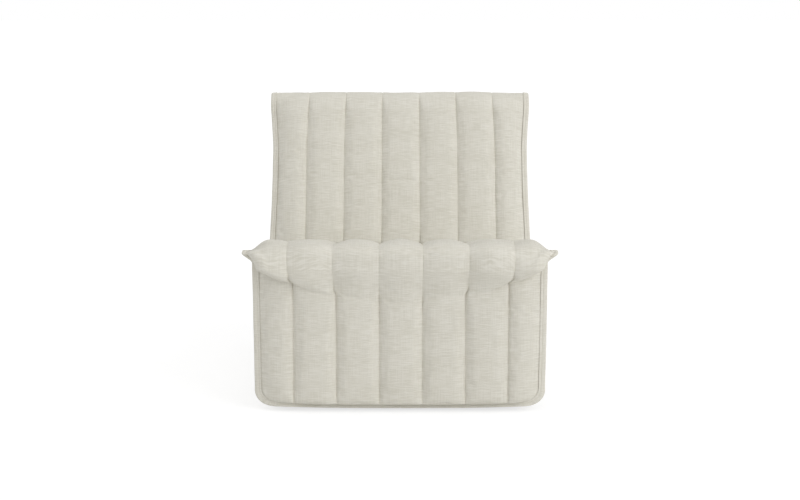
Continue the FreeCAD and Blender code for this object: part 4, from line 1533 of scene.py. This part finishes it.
@dataclass
class SideCloth:
    """Cloth of one side over its foam, from the welt down and turned under at the bottom."""

    side: Side
    lining: Lining
    thickness: float = 0.0036
    tuck: float = 0.016
    crown: float = 0.003
    crown_width: float = 0.09
    edge_dip: float = 0.0006
    dip_width: float = 0.004
    low_run: float = 0.05
    low_crown: float = 0.3
    gap: float = 0.0004
    bed: float = 0.0002
    pace: float = 0.009
    rows_up: int = 46
    rows_round: int = 9
    front_run: float = 0.03
    rear_run: float = 0.06
    welt_room: float = 0.0052

    def outline(self, pads: list[QuiltedPad]) -> Array:
        """Outer edge of the cloth in the side plane, from the front up and over to the rear."""
        lines = []
        for grid in (pad.grid for pad in pads):
            _, edge, ear, cover = grid.facts[:, :4].T
            height = (edge - self.welt_room - self.gap) * cover * (1 - ear) - self.gap * (1 - cover)
            lines.append(grid.edge_foot + grid.edge_rise * height[:, None])
        return np.concatenate([lines[0], lines[1][1:]])

    def make(self, pads: list[QuiltedPad], linen: Material) -> None:
        """Lays the cloth in columns from its lower to its upper edge and turns it under."""
        corner_z = self.lining.hem_z + self.lining.corner_radius
        edge = self.outline(pads)
        edge = edge[edge[:, 1] > corner_z - 1e-6]
        front, rear = int(np.argmin(edge[:, 0])), int(np.argmax(edge[:, 0]))
        columns = self.columns(edge, front, rear)
        top = np.interp(columns, *self.rising(edge[front : rear + 1]))
        low = np.full(len(columns), corner_z)
        if front:
            early = np.interp(columns, *self.rising(edge[: front + 1][::-1]))
            low = np.where(columns < edge[0, 0], early, low)
        late = np.interp(columns, *self.rising(edge[rear:][::-1]))
        low = np.where(columns > edge[-1, 0], late, low)
        y = np.broadcast_to(columns, (self.rows_up, len(columns)))
        z = low + (top - low) * np.linspace(0, 1, self.rows_up)[:, None]
        away = distance_to(np.column_stack([y.ravel(), z.ravel()]), edge).reshape(y.shape)
        swell = self.crown * ease(away / self.crown_width) - self.edge_dip * bell(away, self.dip_width)
        swell = swell * ease((z - corner_z) / self.low_run + self.low_crown)
        sheet = np.stack([self.lining.half_body - self.bed + swell, y, z], axis=-1)
        self.close(sheet, self.turned_under(columns, edge), linen)

    def columns(self, edge: Array, front: int, rear: int) -> Array:
        """Places of the columns along the chair's depth, closer together at the rounded ends."""
        low, high, first = edge[front, 0], edge[rear, 0], edge[0, 0]
        marks = [low, first, edge[-1, 0], high]
        ends = np.linspace(first, first + self.front_run, 8), np.linspace(high - self.rear_run, high, 22)
        made = np.unique(np.round(np.concatenate([np.arange(low, high, self.pace), marks, *ends]), 5))
        return made[(made >= low - 1e-9) & (made <= high + 1e-9)]

    @staticmethod
    def rising(line: Array) -> tuple[Array, Array]:
        """A line's places and heights, kept where the places grow."""
        best = np.maximum.accumulate(line[:, 0])
        keep = np.concatenate([[True], np.diff(best) > 1e-7])
        return line[keep, 0], line[keep, 1]

    def turned_under(self, columns: Array, edge: Array) -> Array:
        """Rows round the lower corner and under the chair, from the side inwards."""
        reach = columns[(columns >= edge[0, 0] - 1e-9) & (columns <= edge[-1, 0] + 1e-9)]
        radius, hem_z = self.lining.corner_radius, self.lining.hem_z
        centre_x, centre_z = self.lining.half_body - radius, hem_z + radius
        bend, turns = radius - self.bed, np.radians(np.linspace(0, 90, self.rows_round))
        spots = [(centre_x + bend * math.cos(a), centre_z - bend * math.sin(a)) for a in turns]
        spots += [(centre_x - self.tuck / 2, hem_z + self.bed), (centre_x - self.tuck, hem_z + self.bed)]
        return np.stack([self.short_row(reach, x, z) for x, z in spots])

    def short_row(self, reach: Array, x: float, z: float) -> Array:
        """Row along the depth, cut off by the slanting rear."""
        rear = self.lining.rear
        end = rear.edge + rear.way * ((z - rear.edge[1]) / rear.way[1])
        share = (reach - reach[0]) / (reach[-1] - reach[0])
        y = mixed(self.lining.front_y + self.gap, end[0] - self.gap, share)
        return spatial(x, np.column_stack([y, np.full(len(y), z)]))

    def close(self, sheet: Array, under: Array, linen: Material) -> None:
        """Joins both parts, gives them their thickness and dresses the piece."""
        under_faces = grid_faces(*under.shape[:2]) + sheet.shape[0] * sheet.shape[1]
        faces = np.concatenate([grid_faces(*sheet.shape[:2]), under_faces]).tolist()
        points = np.concatenate([sheet.reshape(-1, 3), under.reshape(-1, 3)])
        x, y, z = points.T
        seeds = np.full(len(x), 23.0 + self.side.value)
        place = np.column_stack([y, z + (self.lining.half_body - x), seeds])
        piece = piece_of(f"{self.side.word}_side_cloth", points * [self.side.value, 1, 1], faces)
        keep_place(piece, place)
        made = bmesh.new()
        made.from_mesh(piece.data)
        bmesh.ops.remove_doubles(made, verts=made.verts, dist=0.00012)
        bmesh.ops.dissolve_degenerate(made, dist=0.00005, edges=made.edges)
        bmesh.ops.recalc_face_normals(made, faces=made.faces)
        if sum(f.normal.x * f.calc_area() for f in made.faces) * self.side.value < 0:
            bmesh.ops.reverse_faces(made, faces=made.faces)
        made.to_mesh(piece.data)
        made.free()
        thicken(piece, self.thickness, -1)
        finish_piece(piece, linen, "linen_weave", f"{self.side.word}_side_cover")


def distance_to(points: Array, line: Array) -> Array:
    """Shortest distance of each point to a line of the side plane."""
    start, way = line[:-1], np.diff(line, axis=0)
    length = np.maximum((way**2).sum(axis=1), 1e-12)
    best = np.full(len(points), np.inf)
    for s, w, n in zip(start, way, length):
        share = np.clip(((points - s) @ w) / n, 0, 1)
        best = np.minimum(best, np.linalg.norm(points - s - share[:, None] * w, axis=1))
    return best


@dataclass
class DustCloth:
    """Thin cloth stapled under the frame."""

    sag: float = 0.0012
    sag_run: float = 0.12
    ripple: float = 0.3
    ripple_scale: float = 14.0
    pace: float = 0.012
    trim: float = 0.001
    thickness: float = 0.0006
    staple_pitch: float = 0.045
    staple_size: tuple = (0.009, 0.00112, 0.0007)
    staple_bevel: float = 0.000196
    staple_inset: float = 0.007
    staple_sink: float = 0.0003
    staple_turn: float = 8.0

    def make(self, black: Material, steel: Material) -> None:
        """Lays the cloth in its place and staples its edge."""
        low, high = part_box("dust_cover")
        flat = (high.x - low.x - self.trim, high.y - low.y - self.trim)
        middle = (low + high) / 2
        bpy.ops.object.select_all(action="DESELECT")
        bpy.ops.mesh.primitive_plane_add(size=1.0, location=(middle.x, middle.y, high.z - self.thickness))
        cloth = bpy.context.object
        cloth.name = cloth.data.name = "dust_cloth"
        cloth.scale = (*flat, 1.0)
        edit_whole(bpy.ops.mesh.subdivide, number_cuts=round((high.x - low.x) / self.pace))
        for v in cloth.data.vertices:
            edge = min(v.co.x - low.x, high.x - v.co.x, v.co.y - low.y, high.y - v.co.y)
            droop = self.sag * float(ease(edge / self.sag_run))
            v.co.z -= droop * (1 + self.ripple * noise.noise(v.co * self.ripple_scale))
        thicken(cloth, self.thickness / 2, 0)
        finish_piece(cloth, black, "dust_cloth", "dust_cover")
        staples = self.staples(low, high)
        finish_piece(staples, steel, "nail_steel")

    def staples(self, low: Vector, high: Vector) -> Piece:
        """Staple crowns round the edge of the cloth, each a little askew."""
        bpy.ops.object.select_all(action="DESELECT")
        bpy.ops.mesh.primitive_cube_add(size=1.0)
        bpy.context.object.scale = self.staple_size
        edit_whole(bpy.ops.mesh.bevel, offset=self.staple_bevel, segments=2, affect="EDGES")
        crowns, inset, spots = Copies.of_model(), self.staple_inset, []
        for x in np.arange(low.x + 0.03, high.x - 0.02, self.staple_pitch):
            spots += [(x, low.y + inset, 0.0), (x, high.y - inset, 0.0)]
        for y in np.arange(low.y + 0.03, high.y - 0.02, self.staple_pitch):
            spots += [(low.x + inset, y, 90.0), (high.x - inset, y, 90.0)]
        for x, y, turn in spots:
            a = math.radians(turn + self.staple_turn * noise.noise(Vector((x * 30, y * 30, 2.0))))
            axes = np.array([[math.cos(a), math.sin(a), 0], [-math.sin(a), math.cos(a), 0], [0, 0, 1]])
            crowns.add(axes, [x, y, low.z + self.staple_sink])
        return crowns.piece("dust_cloth_staples")


# The hidden frame


class Stock(Enum):
    """Finish of each kind of frame node, with the words that its nodes' names hold."""

    FOAM = ("foam",)
    STRAP = ("straps",)
    PLY = ("panel",)
    BOARD = ("back_board",)
    GLIDE = ("glides",)
    NAIL = ("nails",)
    CLOTH = ("quilt", "welt", "side_cover")
    DUST = ("dust_cover",)
    PINE = ("",)

    @classmethod
    def of(cls, node: str) -> Stock:
        """Kind of stock that a node is made of."""
        return next(s for s in cls if any(word in node for word in s.value))


def dress_frame(finishes: dict[Stock, Material]) -> None:
    """Gives every node of the frame its finish."""
    for name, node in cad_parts.items():
        finish = finishes[Stock.of(name)]
        if not node.material_slots:
            node.data.materials.append(finish)
        for slot in node.material_slots:
            slot.material = finish
        LOG.info("%s takes %s", name, finish.name)


# Studio


@dataclass(frozen=True)
class Sun:
    """Soft light from far away: its way, its strength and how wide it looks in degrees."""

    name: str
    way: tuple
    power: float
    angle: float

    def make(self) -> None:
        """Adds the light."""
        data = bpy.data.lights.new(self.name, "SUN")
        data.energy = self.power
        data.angle = math.radians(self.angle)
        light = bpy.data.objects.new(self.name, data)
        light.rotation_mode = "QUATERNION"
        light.rotation_quaternion = Vector(self.way).to_track_quat("-Z", "Y")
        bpy.context.scene.collection.objects.link(light)


@dataclass
class Studio:
    """White floor, plain soft light and the camera at the photograph's angle."""

    camera_place: tuple = (0.0, -4.376, 1.119)
    camera_pitch: float = 80.0
    lens: float = 72.0
    sensor: float = 36.0
    far: float = 200.0
    floor_size: float = 60.0
    ambient: float = 0.67
    key: Sun = Sun("key_light", (-0.76, 0.52, -0.42), 1.15, 45.0)
    top: Sun = Sun("top_light", (0.1, 0.0, -1.0), 0.5, 60.0)

    def make(self) -> None:
        """Builds floor, world, lights and camera."""
        bpy.ops.object.select_all(action="DESELECT")
        bpy.ops.mesh.primitive_plane_add(size=self.floor_size)
        floor = bpy.context.object
        floor.name = "studio_floor"
        floor.data.materials.append(StudioFinish("studio_white").material())
        self.make_world()
        self.key.make()
        self.top.make()
        self.make_camera()

    def make_world(self) -> None:
        """Even grey light all round, white for the camera."""
        world = bpy.data.worlds.new("studio_world")
        world.use_nodes = True
        bpy.context.scene.world = world
        bench = Bench(world.node_tree)
        strength = bench.node("ShaderNodeLightPath") * (1 - self.ambient) + self.ambient
        light = bench.node("ShaderNodeBackground", None, {"Color": rgba((1, 1, 1)), "Strength": strength})
        bench.node("ShaderNodeOutputWorld", None, {"Surface": light})

    def make_camera(self) -> None:
        """Camera in front of the chair, looking slightly down."""
        scene = bpy.context.scene
        data = bpy.data.cameras.new("photo_camera")
        data.lens, data.sensor_width, data.clip_end = self.lens, self.sensor, self.far
        camera = bpy.data.objects.new("photo_camera", data)
        camera.location = self.camera_place
        camera.rotation_euler = (math.radians(self.camera_pitch), 0.0, 0.0)
        scene.collection.objects.link(camera)
        scene.camera = camera
        scene.view_settings.view_transform = "Standard"


def main() -> None:
    """Builds the chair's pieces in order and the studio round them."""
    logging.basicConfig(level=logging.INFO, format="%(name)s: %(message)s")
    linen = LinenFinish("ivory_linen").material()
    thread = ThreadFinish("sewing_thread").material()
    black = DustClothFinish("dust_cloth_black").material()
    steel = SteelFinish("steel_wire").material()
    dress_frame(
        {
            Stock.FOAM: FoamFinish("open_foam").material(),
            Stock.STRAP: StrapFinish("elastic_strap").material(),
            Stock.PLY: WoodFinish("sanded_ply", grain=(60.0, 3.0, 12.0)).material(),
            Stock.BOARD: BoardFinish("fibre_board").material(),
            Stock.GLIDE: PlasticFinish("glide_plastic").material(),
            Stock.NAIL: steel,
            Stock.CLOTH: linen,
            Stock.DUST: black,
            Stock.PINE: WoodFinish("planed_pine").material(),
        }
    )
    lining, channels = Lining(), Channels()
    seat = SeatPad("seat_pad", "seat_quilt", lining, channels, seed=1.0)
    back = BackPad("back_pad", "back_quilt", lining, channels, seed=2.0)
    pads = [seat, back]
    for pad in pads:
        pad.build()
        pad.make(linen)
    for pad in pads:
        Stitch(thread).sew(f"{pad.name}_stitches", pad.seam_lines())
    welt_stitch = Stitch(thread, length=0.0032, pitch=0.0044)
    for side in Side:
        welt = SideWelt(lining, side=side)
        welt.make(pads, linen)
        welt_stitch.sew(f"{side.word}_welt_stitches", welt.stitch_lines(pads))
        SideCloth(side, lining).make(pads, linen)
    for node in ("front_hem_welt", "rear_hem_welt"):
        HemWelt(lining, node=node).make(pads, linen, welt_stitch)
    DustCloth().make(black, steel)
    Studio().make()


if __name__ == "__main__":
    main()
